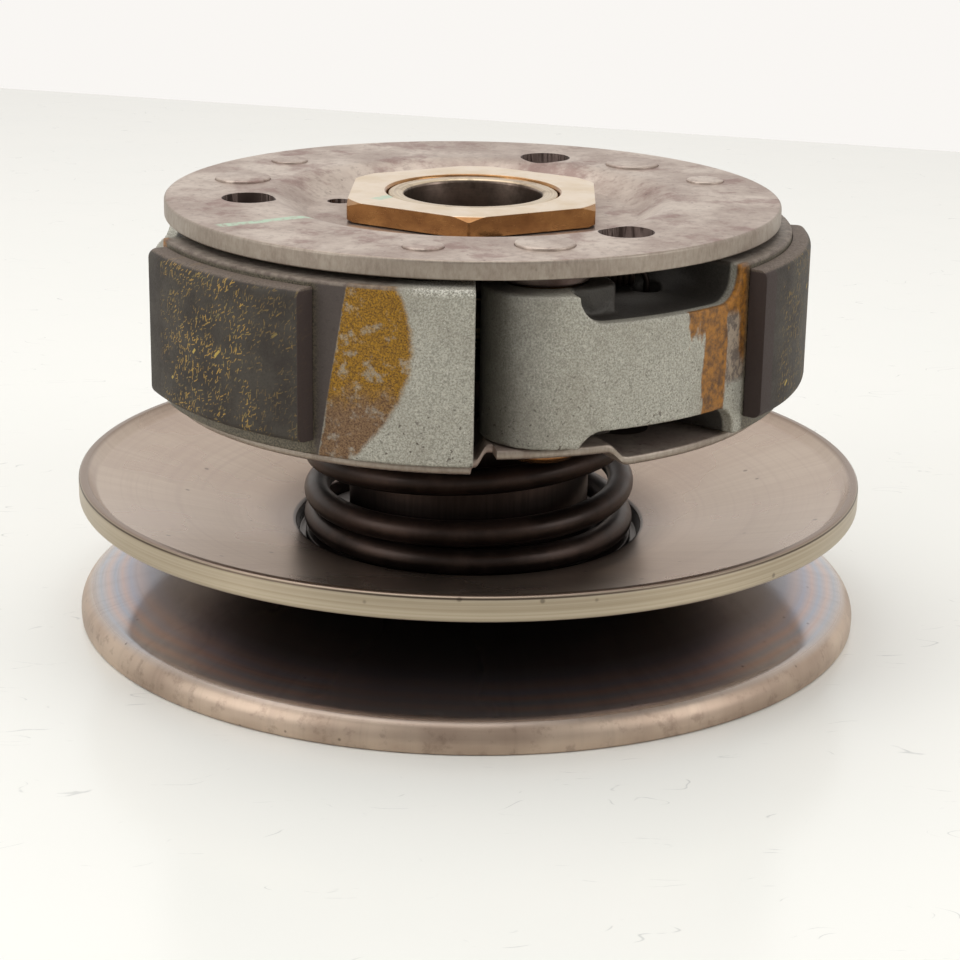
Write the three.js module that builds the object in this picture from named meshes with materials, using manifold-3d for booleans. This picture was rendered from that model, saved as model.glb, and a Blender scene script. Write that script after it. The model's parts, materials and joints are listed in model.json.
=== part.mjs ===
// Driven pulley of a scooter's belt drive, with its centrifugal clutch: two belt faces, the torque
// cam and its big coil spring, and three lined shoes between a drive plate and a thin side plate.
// Millimetres, +Z up. The axis of rotation is Z, and the fixed belt face rests on z = 0.
import * as THREE from 'three';
import { mergeVertices } from 'three/addons/utils/BufferGeometryUtils.js';
import Module from 'manifold-3d';

const wasm = await Module();
wasm.setup();

const rad = THREE.MathUtils.degToRad;

// ---------------------------------------------------------------- driving dimensions
const GAP = 0.3;              // clearance between pieces that touch
const LARGE_ROUND = 36;       // facets round the big turned pieces
const MEDIUM_ROUND = 24;
const SMALL_ROUND = 12;
const TINY_ROUND = 8;

const CONE_SLOPE = Math.tan(rad(13.8));   // the belt's half angle
const FACE_TRAVEL = 16;                   // how far the movable face opens
const CAM_TWIST = 38;                     // degrees the face turns on the way

const FIXED = { rimRadius: 76.05, rimBend: 4.45, bendHeight: 1.6, sheet: 2.9, hubTop: 12.6, hubHole: 17.3 };
const BOSS = {
  radius: 17, bore: 13.1, lowBore: 12.4, bottom: 2, shoulder: 75, threadRadius: 16.15, top: 82.35,
  flangeRadius: 20.5, flangeBottom: 5.5, bearingSeat: 50.3,
  grooveRadius: 13.9, grooveBottom: 56, grooveTop: 57.4,
};
const DRIVE_FLAT = 15.3;                  // from the axis to the two flats that drive the clutch
const MOVABLE = {
  rimRadius: 75.7, rimTop: 28.8, rimBottom: 24.15, hubBottom: 12.9, hubTop: 14.8, hubHole: 22.5,
  topConeAtZero: 9.07, bottomConeAtZero: 5.97, recessRadius: 33,
};
const CAM = { inner: 17.35, outer: 22.2, top: 58.2, pinHeight: 48, slotHalfWidth: 4.8, rollerRadius: 3.9 };
const CAM_RADIUS = (CAM.inner + CAM.outer) / 2;
const GUIDE_AZIMUTHS = [0, 120, 240];
const GUIDE_PIN = { radius: 2.5, inner: 13.4, outer: 22 };
const O_RING_HEIGHTS = [21.5, 55.2];
const SEAL = { inner: 17.3, outer: 18.9, seat: 19.2, seatDepth: 3.4, height: 2.9, inset: 0.2 };
const BEARING = {
  bottom: 50.6, height: 5, outer: 12.8, outerFace: 11.45, innerFace: 9.95, inner: 8.5,
  ballRadius: 1.15, ballCircle: 10.7, balls: 8,
};
const NEEDLES = {
  bottom: 10, top: 28, shellInner: 11.3, shellOuter: 12.1, radius: 0.8, circle: 10.2, count: 12,
};
const COLLAR = { inner: 22.6, wall: 0.8, flangeRadius: 32, flangeBottom: 15.1, flangeTop: 15.7, top: 57.5 };
const SPRING = {
  radius: 29.8, wire: 2.5, bottom: 16, top: 73.9, turns: 6.56, startAzimuth: 170, closedPitch: 5.12,
  opening: 1.1, blend: 0.4,
};
const SPRING_SEAT = { inner: 24, outer: 32.4, sheet: 0.7 };
const PLATE = {
  radius: 58.2, top: 82, thickness: 3.4, dishRadius: 31.1, dishEdge: 36, hole: 16.45,
  largeHole: 5, largeHoleCircle: 42.5, largeHoleTurn: 24,
  smallHole: 2.3, smallHoleCircle: 27, smallHoleTurn: -3,
};
const RIVET = { headRadius: 5.3, smallHeadRadius: 3.6, bottom: 81.1, top: 82.5, smallTop: 82.4 };
const NUT = { acrossFlats: 46, bottom: 78.9, top: 82.7, firstCorner: 28.45 };

const STATIONS = 3;
const FIRST_PIVOT_AZIMUTH = 165.8;
const STATION_STEP = 360 / STATIONS;
const PIVOT_RADIUS = 46.1;
const STOP = {
  radius: 48.4, azimuth: 94.2, shank: 2.5, bottom: 52, rubber: 5, rubberBottom: 54, rubberTop: 76,
};
const SHOE = {
  inner: 34.3, outer: 60.4, bottom: 46.4, top: 77.5, end: 104.9, bossRadius: 11.6, bossCentre: 48.4,
  bossBottom: 49.1, bossTop: 76, webBottom: 52, webTop: 71, pocketStart: 2, pocketEnd: 35.7, pocketCorner: 5,
  pinHole: 6.9, stopTravel: 26,
};
const PIN = { shank: 4, journal: 5, spacer: 8, bottom: 45.2 };
const LINING = { inner: 60.7, outer: 64, start: 38.5, end: 77.8, bottom: 49.2, top: 76.3 };
const SIDE_PLATE = { inner: 34.5, outer: 58, notch: 54, bottom: 44.5, sheet: 1.6, padRise: 2.7 };
const SHOE_SPRING = { wire: 0.6, coil: 2.7, wireHeight: 77.2, coilHeight: 74.3 };

// ---------------------------------------------------------------- solids and booleans
// A closed three.js geometry as a manifold solid.
function toSolid(geometry) {
  const bare = geometry.clone();
  bare.deleteAttribute('normal');
  bare.deleteAttribute('uv');
  const merged = mergeVertices(bare, 1e-4);
  const index = merged.index.array;
  const triangles = [];
  for (let i = 0; i < index.length; i += 3) {
    const [a, b, c] = [index[i], index[i + 1], index[i + 2]];
    if (a !== b && b !== c && c !== a) triangles.push(a, b, c);
  }
  return new wasm.Manifold(new wasm.Mesh({
    numProp: 3,
    vertProperties: Float32Array.from(merged.attributes.position.array),
    triVerts: Uint32Array.from(triangles),
  }));
}

function toGeometry(solid) {
  const mesh = solid.getMesh();
  const geometry = new THREE.BufferGeometry();
  geometry.setAttribute('position', new THREE.BufferAttribute(mesh.vertProperties, 3));
  geometry.setIndex(new THREE.BufferAttribute(mesh.triVerts, 1));
  return geometry;
}

// The first geometry, with the others joined to it.
function join(first, ...others) {
  return toGeometry(others.reduce((solid, other) => solid.add(toSolid(other)), toSolid(first)));
}

// The first geometry, with the others cut out of it.
function cut(first, ...others) {
  return toGeometry(others.reduce((solid, other) => solid.subtract(toSolid(other)), toSolid(first)));
}

function common(first, second) {
  return toGeometry(toSolid(first).intersect(toSolid(second)));
}

// ---------------------------------------------------------------- shape helpers
function polar(radius, azimuth, height = 0) {
  return new THREE.Vector3(radius * Math.cos(rad(azimuth)), radius * Math.sin(rad(azimuth)), height);
}

// Points of an arc, as [x, y] pairs, both ends included.
function arc([centreX, centreY], radius, from, to, steps) {
  const points = [];
  for (let i = 0; i <= steps; i += 1) {
    const angle = rad(from + ((to - from) * i) / steps);
    points.push([centreX + radius * Math.cos(angle), centreY + radius * Math.sin(angle)]);
  }
  return points;
}

// A solid of revolution about Z from a closed outline of [radius, height] points.
function turned(outline, facets = LARGE_ROUND) {
  const points = outline.map(([radius, height]) => new THREE.Vector2(radius, height));
  if (THREE.ShapeUtils.isClockWise(points)) points.reverse();
  if (points.every((point) => point.x > 0)) {
    points.push(points[0].clone());
  } else {
    while (points[0].x > 0 || points.at(-1).x > 0) points.push(points.shift());
  }
  return new THREE.LatheGeometry(points, facets).rotateX(Math.PI / 2);
}

function ring(inner, outer, bottom, top, facets = LARGE_ROUND) {
  return turned([[inner, bottom], [outer, bottom], [outer, top], [inner, top]], facets);
}

// An upright cylinder standing at a place.
function post(place, radius, bottom, top, facets = SMALL_ROUND) {
  return new THREE.CylinderGeometry(radius, radius, top - bottom, facets)
    .rotateX(Math.PI / 2)
    .translate(place.x, place.y, (bottom + top) / 2);
}

function extruded(points, bottom, top) {
  const shape = new THREE.Shape(points.map(([x, y]) => new THREE.Vector2(x, y)));
  return new THREE.ExtrudeGeometry(shape, { depth: top - bottom, bevelEnabled: false })
    .translate(0, 0, bottom);
}

// A slice of a ring, between two azimuths and two heights.
function sector(inner, outer, from, to, bottom, top) {
  const steps = Math.max(1, Math.round((to - from) / 7.5));
  const outline = [...arc([0, 0], outer, from, to, steps), ...arc([0, 0], inner, to, from, steps)];
  return extruded(outline, bottom, top);
}

// The outline of a slot with round ends, with points along its straight sides too.
function obround([x0, y0], [x1, y1], radius, sideSteps = 1, endSteps = 5) {
  const heading = THREE.MathUtils.radToDeg(Math.atan2(y1 - y0, x1 - x0));
  const farEnd = arc([x1, y1], radius, heading - 90, heading + 90, endSteps);
  const nearEnd = arc([x0, y0], radius, heading + 90, heading + 270, endSteps);
  const between = (from, to) => Array.from({ length: sideSteps - 1 }, (_, i) => [
    from[0] + ((to[0] - from[0]) * (i + 1)) / sideSteps,
    from[1] + ((to[1] - from[1]) * (i + 1)) / sideSteps,
  ]);
  const oneSide = between(farEnd.at(-1), nearEnd[0]);
  const otherSide = between(nearEnd.at(-1), farEnd[0]);
  return [...farEnd, ...oneSide, ...nearEnd, ...otherSide];
}

// A flat outline of [arc length, height] points, bent round the axis and given a radial depth.
function wrapped(points, arcRadius, inner, outer) {
  const geometry = extruded(points, inner, outer);
  const position = geometry.attributes.position;
  for (let i = 0; i < position.count; i += 1) {
    const angle = position.getX(i) / arcRadius;
    const radius = position.getZ(i);
    position.setXYZ(i, radius * Math.cos(angle), radius * Math.sin(angle), position.getY(i));
  }
  return geometry;
}

// A rod of a regular section along a curve.
function swept(curve, radius, sides, steps) {
  const section = new THREE.Shape(arc([0, 0], radius, 0, 360 - 360 / sides, sides - 1)
    .map(([x, y]) => new THREE.Vector2(x, y)));
  return new THREE.ExtrudeGeometry(section, { steps, extrudePath: curve, bevelEnabled: false });
}

// A box lying along the line between two places, standing from one height to another.
function bar(from, to, width, bottom, top) {
  const middle = from.clone().lerp(to, 0.5);
  return new THREE.BoxGeometry(from.distanceTo(to), width, top - bottom)
    .rotateZ(Math.atan2(to.y - from.y, to.x - from.x))
    .translate(middle.x, middle.y, (bottom + top) / 2);
}

// ---------------------------------------------------------------- materials
const FINISH = {
  sheave: { color: 0x9a8c80, roughness: 0.42, metalness: 0.85 },
  fixedSheave: { color: 0x84766c, roughness: 0.45, metalness: 0.85 },
  plate: { color: 0x8b8079, roughness: 0.6, metalness: 0.7 },
  zinc: { color: 0xb99a55, roughness: 0.35, metalness: 0.85 },
  steel: { color: 0x8d8a86, roughness: 0.35, metalness: 0.9 },
  springSteel: { color: 0x3a2c28, roughness: 0.4, metalness: 0.6 },
  collar: { color: 0x6d6660, roughness: 0.4, metalness: 0.8 },
  castAluminium: { color: 0x9a9c95, roughness: 0.65, metalness: 0.5 },
  lining: { color: 0x45423c, roughness: 0.95, metalness: 0 },
  rubber: { color: 0x1f1f1f, roughness: 0.85, metalness: 0 },
  bronze: { color: 0x8a6f4a, roughness: 0.5, metalness: 0.7 },
};

function piece(name, geometry, finish) {
  const mesh = new THREE.Mesh(geometry, new THREE.MeshStandardMaterial(FINISH[finish]));
  mesh.name = name;
  return mesh;
}

// ---------------------------------------------------------------- belt faces and their bosses
// The fixed face: a coned sheet, flat at the hub, with its rim curled down to the bench.
function fixedFace() {
  const { rimRadius, rimBend, bendHeight, sheet, hubTop, hubHole } = FIXED;
  const bendCentre = [rimRadius - rimBend, bendHeight];
  const coneNormal = 90 - 13.8;
  const innerBend = rimBend - sheet;
  const [shoulderRadius, shoulderHeight] = arc(bendCentre, rimBend, coneNormal, coneNormal, 1)[0];
  const hubRadius = shoulderRadius - (hubTop - shoulderHeight) / CONE_SLOPE;
  return turned([
    [rimRadius - rimBend + innerBend + 0.4, 0], [rimRadius - 0.5, 0], [rimRadius, 0.6],
    ...arc(bendCentre, rimBend, 0, coneNormal, 4),
    [hubRadius, hubTop], [hubHole, hubTop], [hubHole, hubTop - sheet], [hubRadius - 0.5, hubTop - sheet],
    ...arc(bendCentre, innerBend, coneNormal, 0, 2),
    [rimRadius - rimBend + innerBend, 0.4],
  ]);
}

// The tube that carries the fixed face, the cam pins and, on its threaded end, the drive plate.
function fixedBoss() {
  const { radius, bore, lowBore, bottom, shoulder, threadRadius, top, bearingSeat } = BOSS;
  const flangeTop = FIXED.hubTop - FIXED.sheet - GAP;
  const tube = turned([
    [lowBore, bottom], [radius - 0.4, bottom], [radius, bottom + 0.4], [radius, BOSS.flangeBottom],
    [BOSS.flangeRadius, BOSS.flangeBottom], [BOSS.flangeRadius, flangeTop], [radius, flangeTop],
    [radius, shoulder], [threadRadius, shoulder], [threadRadius, top - 0.4], [threadRadius - 0.4, top],
    [bore + 0.5, top], [bore, top - 0.5], [bore, BOSS.grooveTop], [BOSS.grooveRadius, BOSS.grooveTop],
    [BOSS.grooveRadius, BOSS.grooveBottom], [bore, BOSS.grooveBottom], [bore, bearingSeat],
    [lowBore, bearingSeat],
  ], MEDIUM_ROUND);
  const pinHoles = GUIDE_AZIMUTHS.map((azimuth) => (
    radialPost(azimuth, GUIDE_PIN.radius + GAP, lowBore - 1, radius + 1)));
  const flatHeight = PLATE.thickness + GAP;
  const driveFlats = [0, 180].map((turn) => new THREE.BoxGeometry(4, 40, flatHeight)
    .translate(DRIVE_FLAT + 2, 0, shoulder + flatHeight / 2)
    .rotateZ(rad(turn)));
  return cut(tube, ...pinHoles, ...driveFlats);
}

// A cylinder lying along a radius at the height of the cam pins.
function radialPost(azimuth, radius, inner, outer, facets = SMALL_ROUND) {
  return new THREE.CylinderGeometry(radius, radius, outer - inner, facets)
    .rotateZ(-Math.PI / 2)
    .translate((inner + outer) / 2, 0, CAM.pinHeight)
    .rotateZ(rad(azimuth));
}

// The movable face: the same cone facing down, dished on top, with a thick turned lip.
function movableFace() {
  const m = MOVABLE;
  const topCone = (radius) => m.topConeAtZero + CONE_SLOPE * radius;
  const underCone = (radius) => m.bottomConeAtZero + CONE_SLOPE * radius;
  const hubEdge = (m.hubBottom - m.bottomConeAtZero) / CONE_SLOPE;
  return turned([
    [m.hubHole, m.hubBottom], [hubEdge, m.hubBottom], [73, underCone(73)], [m.rimRadius - 0.5, m.rimBottom],
    [m.rimRadius, m.rimBottom + 0.5], [m.rimRadius, m.rimTop - 0.5], [m.rimRadius - 0.5, m.rimTop],
    [74.1, m.rimTop], [73.1, m.rimTop - 0.7], [72.5, topCone(72.5)],
    [m.recessRadius + 1.4, topCone(m.recessRadius + 1.4)], [m.recessRadius + 0.4, m.hubTop + 1.6],
    [m.recessRadius, m.hubTop], [m.hubHole, m.hubTop],
  ]);
}

// The sleeve of the movable face, with O-ring grooves, seal seats and three helical cam slots.
function movableBoss() {
  const { inner, outer, top, pinHeight, slotHalfWidth } = CAM;
  const bottom = MOVABLE.hubBottom;
  const { seat, seatDepth } = SEAL;
  const groove = { radius: 20.3, halfWidth: 1.4 };
  const sleeve = turned([
    [seat, bottom], [outer, bottom],
    ...O_RING_HEIGHTS.flatMap((height) => [
      [outer, height - groove.halfWidth], [groove.radius, height - groove.halfWidth],
      [groove.radius, height + groove.halfWidth], [outer, height + groove.halfWidth],
    ]),
    [outer, top], [seat, top], [seat, top - seatDepth],
    [inner, top - seatDepth], [inner, bottom + seatDepth], [seat, bottom + seatDepth],
  ], MEDIUM_ROUND);
  const slotArc = rad(CAM_TWIST) * CAM_RADIUS;
  const outline = obround([0, pinHeight], [-slotArc, pinHeight - FACE_TRAVEL], slotHalfWidth, 4);
  const slots = GUIDE_AZIMUTHS.map((azimuth) => wrapped(outline, CAM_RADIUS, 15, 30).rotateZ(rad(azimuth)));
  return cut(sleeve, ...slots);
}

function oRing(height) {
  return new THREE.TorusGeometry(21.4, 0.8, 6, MEDIUM_ROUND).translate(0, 0, height);
}

function oilSeal(bottom) {
  return ring(SEAL.inner, SEAL.outer, bottom, bottom + SEAL.height, MEDIUM_ROUND);
}

// The pressed cup that closes the cam slots and seats the big spring.
function sealCollar() {
  const { inner, wall, flangeRadius, flangeBottom, flangeTop, top } = COLLAR;
  return turned([
    [inner, flangeBottom], [flangeRadius, flangeBottom], [flangeRadius, flangeTop],
    [inner + wall + 0.8, flangeTop], [inner + wall, flangeTop + 0.8], [inner + wall, top], [inner, top],
  ], MEDIUM_ROUND);
}

// Axial place of the big spring's wire after a number of turns: closed end coils, open middle.
class MainSpringPath extends THREE.Curve {
  getPoint(t, target = new THREE.Vector3()) {
    const turn = t * SPRING.turns;
    const half = SPRING.turns / 2;
    const middle = (SPRING.bottom + SPRING.top) / 2;
    const fromEnd = Math.min(turn, SPRING.turns - turn);
    const rise = springRise(fromEnd) - springRise(half);
    const height = middle + (turn < half ? rise : -rise);
    return target.copy(polar(SPRING.radius, SPRING.startAzimuth + 360 * turn, height));
  }
}

// How far the wire has risen, some turns in from an end of the spring.
function springRise(turn) {
  const { opening, blend } = SPRING;
  const halfRise = (SPRING.top - SPRING.bottom) / 2 - SPRING.wire;
  const pitch = (halfRise - SPRING.closedPitch) / (SPRING.turns / 2 - opening - blend / 2);
  const open = Math.max(0, turn - opening);
  const ramp = open < blend ? open ** 2 / (2 * blend) : open - blend / 2;
  return SPRING.closedPitch * THREE.MathUtils.smoothstep(turn, 0.5, 1) + pitch * ramp;
}

function upperSpringSeat() {
  const bottom = SPRING.top + GAP;
  return ring(SPRING_SEAT.inner, SPRING_SEAT.outer, bottom, bottom + SPRING_SEAT.sheet);
}

// ---------------------------------------------------------------- bearings in the bore
// A race: its outline towards the balls has a groove that clears them.
function race(wallRadius, faceRadius) {
  const { bottom, height, ballRadius, ballCircle } = BEARING;
  const middle = bottom + height / 2;
  const grooveRadius = ballRadius + GAP;
  const halfAngle = THREE.MathUtils.radToDeg(Math.acos(Math.abs(ballCircle - faceRadius) / grooveRadius));
  const facing = faceRadius < ballCircle ? 180 : 0;
  const turn = faceRadius < ballCircle ? -1 : 1;
  return turned([
    [wallRadius, bottom], [faceRadius, bottom],
    ...arc([ballCircle, middle], grooveRadius, facing - turn * halfAngle, facing + turn * halfAngle, 2),
    [faceRadius, bottom + height], [wallRadius, bottom + height],
  ], MEDIUM_ROUND);
}

function ballCage() {
  const { bottom, height, ballRadius, ballCircle, balls } = BEARING;
  const middle = bottom + height / 2;
  const cage = ring(ballCircle - 0.4, ballCircle + 0.4, middle - 0.4, middle + 0.4, 16);
  const ballAzimuths = Array.from({ length: balls }, (_, i) => (360 * i) / balls);
  return join(cage, ...ballAzimuths.map((azimuth) => {
    const place = polar(ballCircle, azimuth, middle);
    return new THREE.IcosahedronGeometry(ballRadius, 0).translate(place.x, place.y, place.z);
  }));
}

function needleShell() {
  return ring(NEEDLES.shellInner, NEEDLES.shellOuter, NEEDLES.bottom, NEEDLES.top, MEDIUM_ROUND);
}

function needleCage() {
  const { bottom, top, radius, circle, count } = NEEDLES;
  const endPlay = 0.6;
  const ringWidth = 1.6;
  const needleInset = 1.4;
  const needles = Array.from({ length: count }, (_, i) => (
    post(polar(circle, (360 * i) / count), radius, bottom + needleInset, top - needleInset, 6)));
  const endRing = (low) => ring(circle - 0.5, circle + 0.5, low, low + ringWidth, count);
  return join(endRing(bottom + endPlay), endRing(top - endPlay - ringWidth), ...needles);
}

// The bearing's snap ring, open over forty degrees.
function snapRing() {
  const outer = BOSS.grooveRadius - GAP;
  return sector(outer - 1.4, outer, 20, 340, BOSS.grooveBottom + GAP, BOSS.grooveTop - GAP);
}

// ---------------------------------------------------------------- clutch plates
// The drive plate: a thick disc with a dished centre, riveted pins and three large holes.
function drivePlate() {
  const { radius, top, thickness, dishRadius, dishEdge, hole } = PLATE;
  const dishTop = top - thickness;
  const disc = turned([
    [hole, dishTop - thickness], [dishRadius - 1.6, dishTop - thickness], [dishRadius + 2.6, dishTop - 0.2],
    [radius, dishTop], [radius, top - 0.5], [radius - 0.5, top],
    [dishEdge, top], [dishEdge - 1.8, top - 0.6], [dishRadius, dishTop], [hole, dishTop],
  ]);
  const keyFlats = [0, 180].map((turn) => new THREE.BoxGeometry(3, 12, thickness)
    .translate(DRIVE_FLAT + GAP + 1.5, 0, dishTop - thickness / 2)
    .rotateZ(rad(turn)));
  const holes = stationAzimuths().flatMap((azimuth) => {
    const pivot = polar(PIVOT_RADIUS, azimuth);
    const stop = polar(STOP.radius, azimuth + STOP.azimuth);
    const large = polar(PLATE.largeHoleCircle, azimuth + PLATE.largeHoleTurn);
    const small = polar(PLATE.smallHoleCircle, azimuth + PLATE.smallHoleTurn);
    return [
      post(large, PLATE.largeHole, dishTop - 1, top + 1, 16),
      post(small, PLATE.smallHole, dishTop - thickness - 1, top, TINY_ROUND),
      post(pivot, PIN.shank + 0.4, dishTop - 1, top + 1),
      post(pivot, RIVET.headRadius + GAP, RIVET.bottom - GAP, top + 1),
      post(stop, STOP.shank + 0.4, dishTop - 1, top + 1, TINY_ROUND),
      post(stop, RIVET.smallHeadRadius + GAP, RIVET.bottom - GAP, top + 1),
    ];
  });
  return cut(join(disc, ...keyFlats), ...holes);
}

function stationAzimuths() {
  return Array.from({ length: STATIONS }, (_, i) => FIRST_PIVOT_AZIMUTH + STATION_STEP * i);
}

function clutchNut() {
  const { acrossFlats, bottom, top, firstCorner } = NUT;
  const cornerRadius = acrossFlats / 2 / Math.cos(Math.PI / 6);
  const corners = arc([0, 0], cornerRadius, firstCorner, firstCorner + 300, 5);
  const blank = turned([
    [BOSS.threadRadius + GAP, bottom], [cornerRadius - 0.6, bottom], [cornerRadius + 0.5, bottom + 0.6],
    [cornerRadius + 0.5, top - 1.2], [cornerRadius - 1.6, top], [BOSS.threadRadius + GAP + 0.5, top],
    [BOSS.threadRadius + GAP, top - 0.5],
  ], MEDIUM_ROUND);
  return common(blank, extruded(corners, bottom - 1, top + 1));
}

// The thin plate under the shoes: a wavy ring, raised to a pad at each pivot pin.
function sidePlate() {
  const { inner, outer, notch, bottom, sheet, padRise } = SIDE_PLATE;
  const profile = [
    { azimuth: -15.6, rise: 0, edge: outer }, { azimuth: -15.4, rise: 0, edge: notch },
    { azimuth: -14.6, rise: 0, edge: notch }, { azimuth: -12.6, rise: padRise, edge: notch },
    { azimuth: -11.4, rise: padRise, edge: notch }, { azimuth: -11.2, rise: padRise, edge: outer },
    { azimuth: -4, rise: padRise, edge: outer }, { azimuth: 3, rise: padRise, edge: outer },
    { azimuth: 8.7, rise: padRise, edge: outer }, { azimuth: 12.5, rise: 0, edge: outer },
    ...Array.from({ length: 9 }, (_, i) => ({ azimuth: 20 + 9.2 * i, rise: 0, edge: outer })),
  ];
  const stations = stationAzimuths().flatMap((pivot) => (
    profile.map((station) => ({ ...station, azimuth: station.azimuth + pivot }))));
  const positions = stations.flatMap(({ azimuth, rise, edge }) => [
    polar(inner, azimuth, bottom + rise), polar(edge, azimuth, bottom + rise),
    polar(edge, azimuth, bottom + rise + sheet), polar(inner, azimuth, bottom + rise + sheet),
  ]);
  const faces = stations.flatMap((_, i) => {
    const here = 4 * i;
    const next = 4 * ((i + 1) % stations.length);
    return [0, 1, 2, 3].flatMap((corner) => {
      const other = (corner + 1) % 4;
      return [here + corner, next + corner, next + other, here + corner, next + other, here + other];
    });
  });
  const sheetRing = new THREE.BufferGeometry().setFromPoints(positions);
  sheetRing.setIndex(faces);
  const pinHoles = stationAzimuths().map((azimuth) => (
    post(polar(PIVOT_RADIUS, azimuth), 4.3, bottom, bottom + padRise + sheet + 1)));
  return cut(sheetRing, ...pinHoles);
}

// ---------------------------------------------------------------- one clutch station
// Each builder below works in the station's own frame, with its pivot pin on +X.
const PIVOT = polar(PIVOT_RADIUS, 0);
const STOP_PLACE = polar(STOP.radius, STOP.azimuth);
const NEXT_BOSS = polar(SHOE.bossCentre, STATION_STEP);
const SPRING_HOOK = polar(41, 83);                       // in this station's shoe
const SPRING_ANCHOR = polar(43, STATION_STEP + 31);      // in the next station's shoe
const ANCHOR_IN_SHOE = polar(43, 31);

function pivotPin() {
  const pad = SIDE_PLATE.bottom + SIDE_PLATE.padRise + SIDE_PLATE.sheet;
  const underPlate = PLATE.top - PLATE.thickness - GAP;
  return turned([
    [0, PIN.bottom], [PIN.shank - 0.4, PIN.bottom], [PIN.shank, PIN.bottom + 0.4],
    [PIN.shank, pad + GAP], [PIN.journal, pad + GAP], [PIN.journal, SHOE.bossTop + GAP],
    [PIN.spacer, SHOE.bossTop + GAP], [PIN.spacer, underPlate], [PIN.shank, underPlate],
    [PIN.shank, RIVET.bottom], [RIVET.headRadius, RIVET.bottom], [RIVET.headRadius, RIVET.top - 0.3],
    [RIVET.headRadius - 0.4, RIVET.top], [0, RIVET.top],
  ], SMALL_ROUND).translate(PIVOT.x, PIVOT.y, 0);
}

// The cap pressed over the pin's lower end, under the side plate.
function pinCap() {
  const bore = PIN.shank + GAP;
  const floor = PIN.bottom - GAP;
  return turned([
    [0, 44.2], [5.4, 44.2], [6.9, 45.2], [6.9, 46.9], [bore, 46.9], [bore, floor], [0, floor],
  ], SMALL_ROUND).translate(PIVOT.x, PIVOT.y, 0);
}

function stopPin() {
  const { shank, bottom } = STOP;
  const { smallHeadRadius, smallTop } = RIVET;
  return turned([
    [0, bottom], [shank - 0.4, bottom], [shank, bottom + 0.4], [shank, RIVET.bottom],
    [smallHeadRadius, RIVET.bottom], [smallHeadRadius, smallTop - 0.3], [smallHeadRadius - 0.4, smallTop],
    [0, smallTop],
  ], TINY_ROUND).translate(STOP_PLACE.x, STOP_PLACE.y, 0);
}

function stopRubber() {
  return ring(STOP.shank + GAP, STOP.rubber, STOP.rubberBottom, STOP.rubberTop, SMALL_ROUND)
    .translate(STOP_PLACE.x, STOP_PLACE.y, 0);
}

function pivotBush() {
  const bottom = SHOE.bossBottom + 0.2;
  const top = SHOE.bossTop - 0.2;
  return ring(PIN.journal + GAP, SHOE.pinHole - 0.4, bottom, top, SMALL_ROUND).translate(PIVOT.x, PIVOT.y, 0);
}

// The way the stop pin moves inside the shoe as the shoe swings out.
function stopDrift() {
  const arm = STOP_PLACE.clone().sub(PIVOT);
  return new THREE.Vector3(-arm.y, arm.x, 0).normalize();
}

// A pocket in the shoe's outer wall, open above or below, with round corners at its floor.
function pocket(floor, opening) {
  const [left, right] = [SHOE.pocketStart, SHOE.pocketEnd].map((azimuth) => rad(azimuth) * SHOE.outer);
  const corner = SHOE.pocketCorner;
  const towardsOpening = Math.sign(opening - floor);
  const cornerHeight = floor + corner * towardsOpening;
  const leftCorner = arc([left + corner, cornerHeight], corner, 180, 180 + 90 * towardsOpening, 4);
  const rightCorner = arc([right - corner, cornerHeight], corner, -90 * towardsOpening, 0, 4);
  const along = (from, to, count) => Array.from({ length: count }, (_, i) => (
    from + ((to - from) * i) / count));
  const floorPoints = along(left + corner, right - corner, 4).slice(1).map((x) => [x, floor]);
  const openingPoints = [...along(right, left, 4), left].map((x) => [x, opening]);
  const outline = [...leftCorner, ...floorPoints, ...rightCorner, ...openingPoints];
  return wrapped(outline, SHOE.outer, SHOE.inner - 4, SHOE.outer + 6);
}

// A cast shoe: a block under the lining, a thin web with two pockets, and the pivot boss.
function shoe() {
  const s = SHOE;
  const block = sector(s.inner, s.outer, s.pocketStart - 0.5, s.end, s.bottom, s.top);
  const bossPlace = polar(s.bossCentre, 0);
  const boss = post(bossPlace, s.bossRadius, s.bossBottom, s.bossTop, MEDIUM_ROUND);
  const root = sector(46, s.outer - 0.5, 0.6, s.pocketStart + 3, s.bossBottom + 0.2, s.bossTop);
  const notchEnd = STOP_PLACE.clone().addScaledVector(stopDrift(), s.stopTravel);
  const notchOutline = obround([STOP_PLACE.x, STOP_PLACE.y], [notchEnd.x, notchEnd.y], STOP.rubber + 0.4);
  const grooveEnd = SPRING_HOOK.clone().lerp(SPRING_ANCHOR, 0.5);
  const { wire, wireHeight } = SHOE_SPRING;
  const through = [s.bottom - 6, s.top + 12];
  const hollowed = cut(
    block,
    pocket(s.webTop, s.top + 3),
    pocket(s.webBottom, s.bottom - 3),
    sector(s.inner - 1, s.outer + 2, -10, 13.2, s.bottom - 3, s.bossBottom),
    sector(s.inner - 1, s.outer + 2, -10, 8, s.bossTop, s.top + 3),
  );
  return cut(
    join(hollowed, boss, root),
    post(PIVOT, s.pinHole, ...through),
    post(NEXT_BOSS, s.bossRadius + 1, ...through, MEDIUM_ROUND),
    extruded(notchOutline, ...through),
    bar(SPRING_HOOK, grooveEnd, 2 * wire + 1.6, wireHeight - 1.4, s.top + 1),
    post(SPRING_HOOK, 1.4, 71, s.top + 1, TINY_ROUND),
    post(ANCHOR_IN_SHOE, 2.6, s.webBottom - 1, s.webTop + 1, TINY_ROUND),
  );
}

function lining() {
  return sector(LINING.inner, LINING.outer, LINING.start, LINING.end, LINING.bottom, LINING.top);
}

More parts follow.
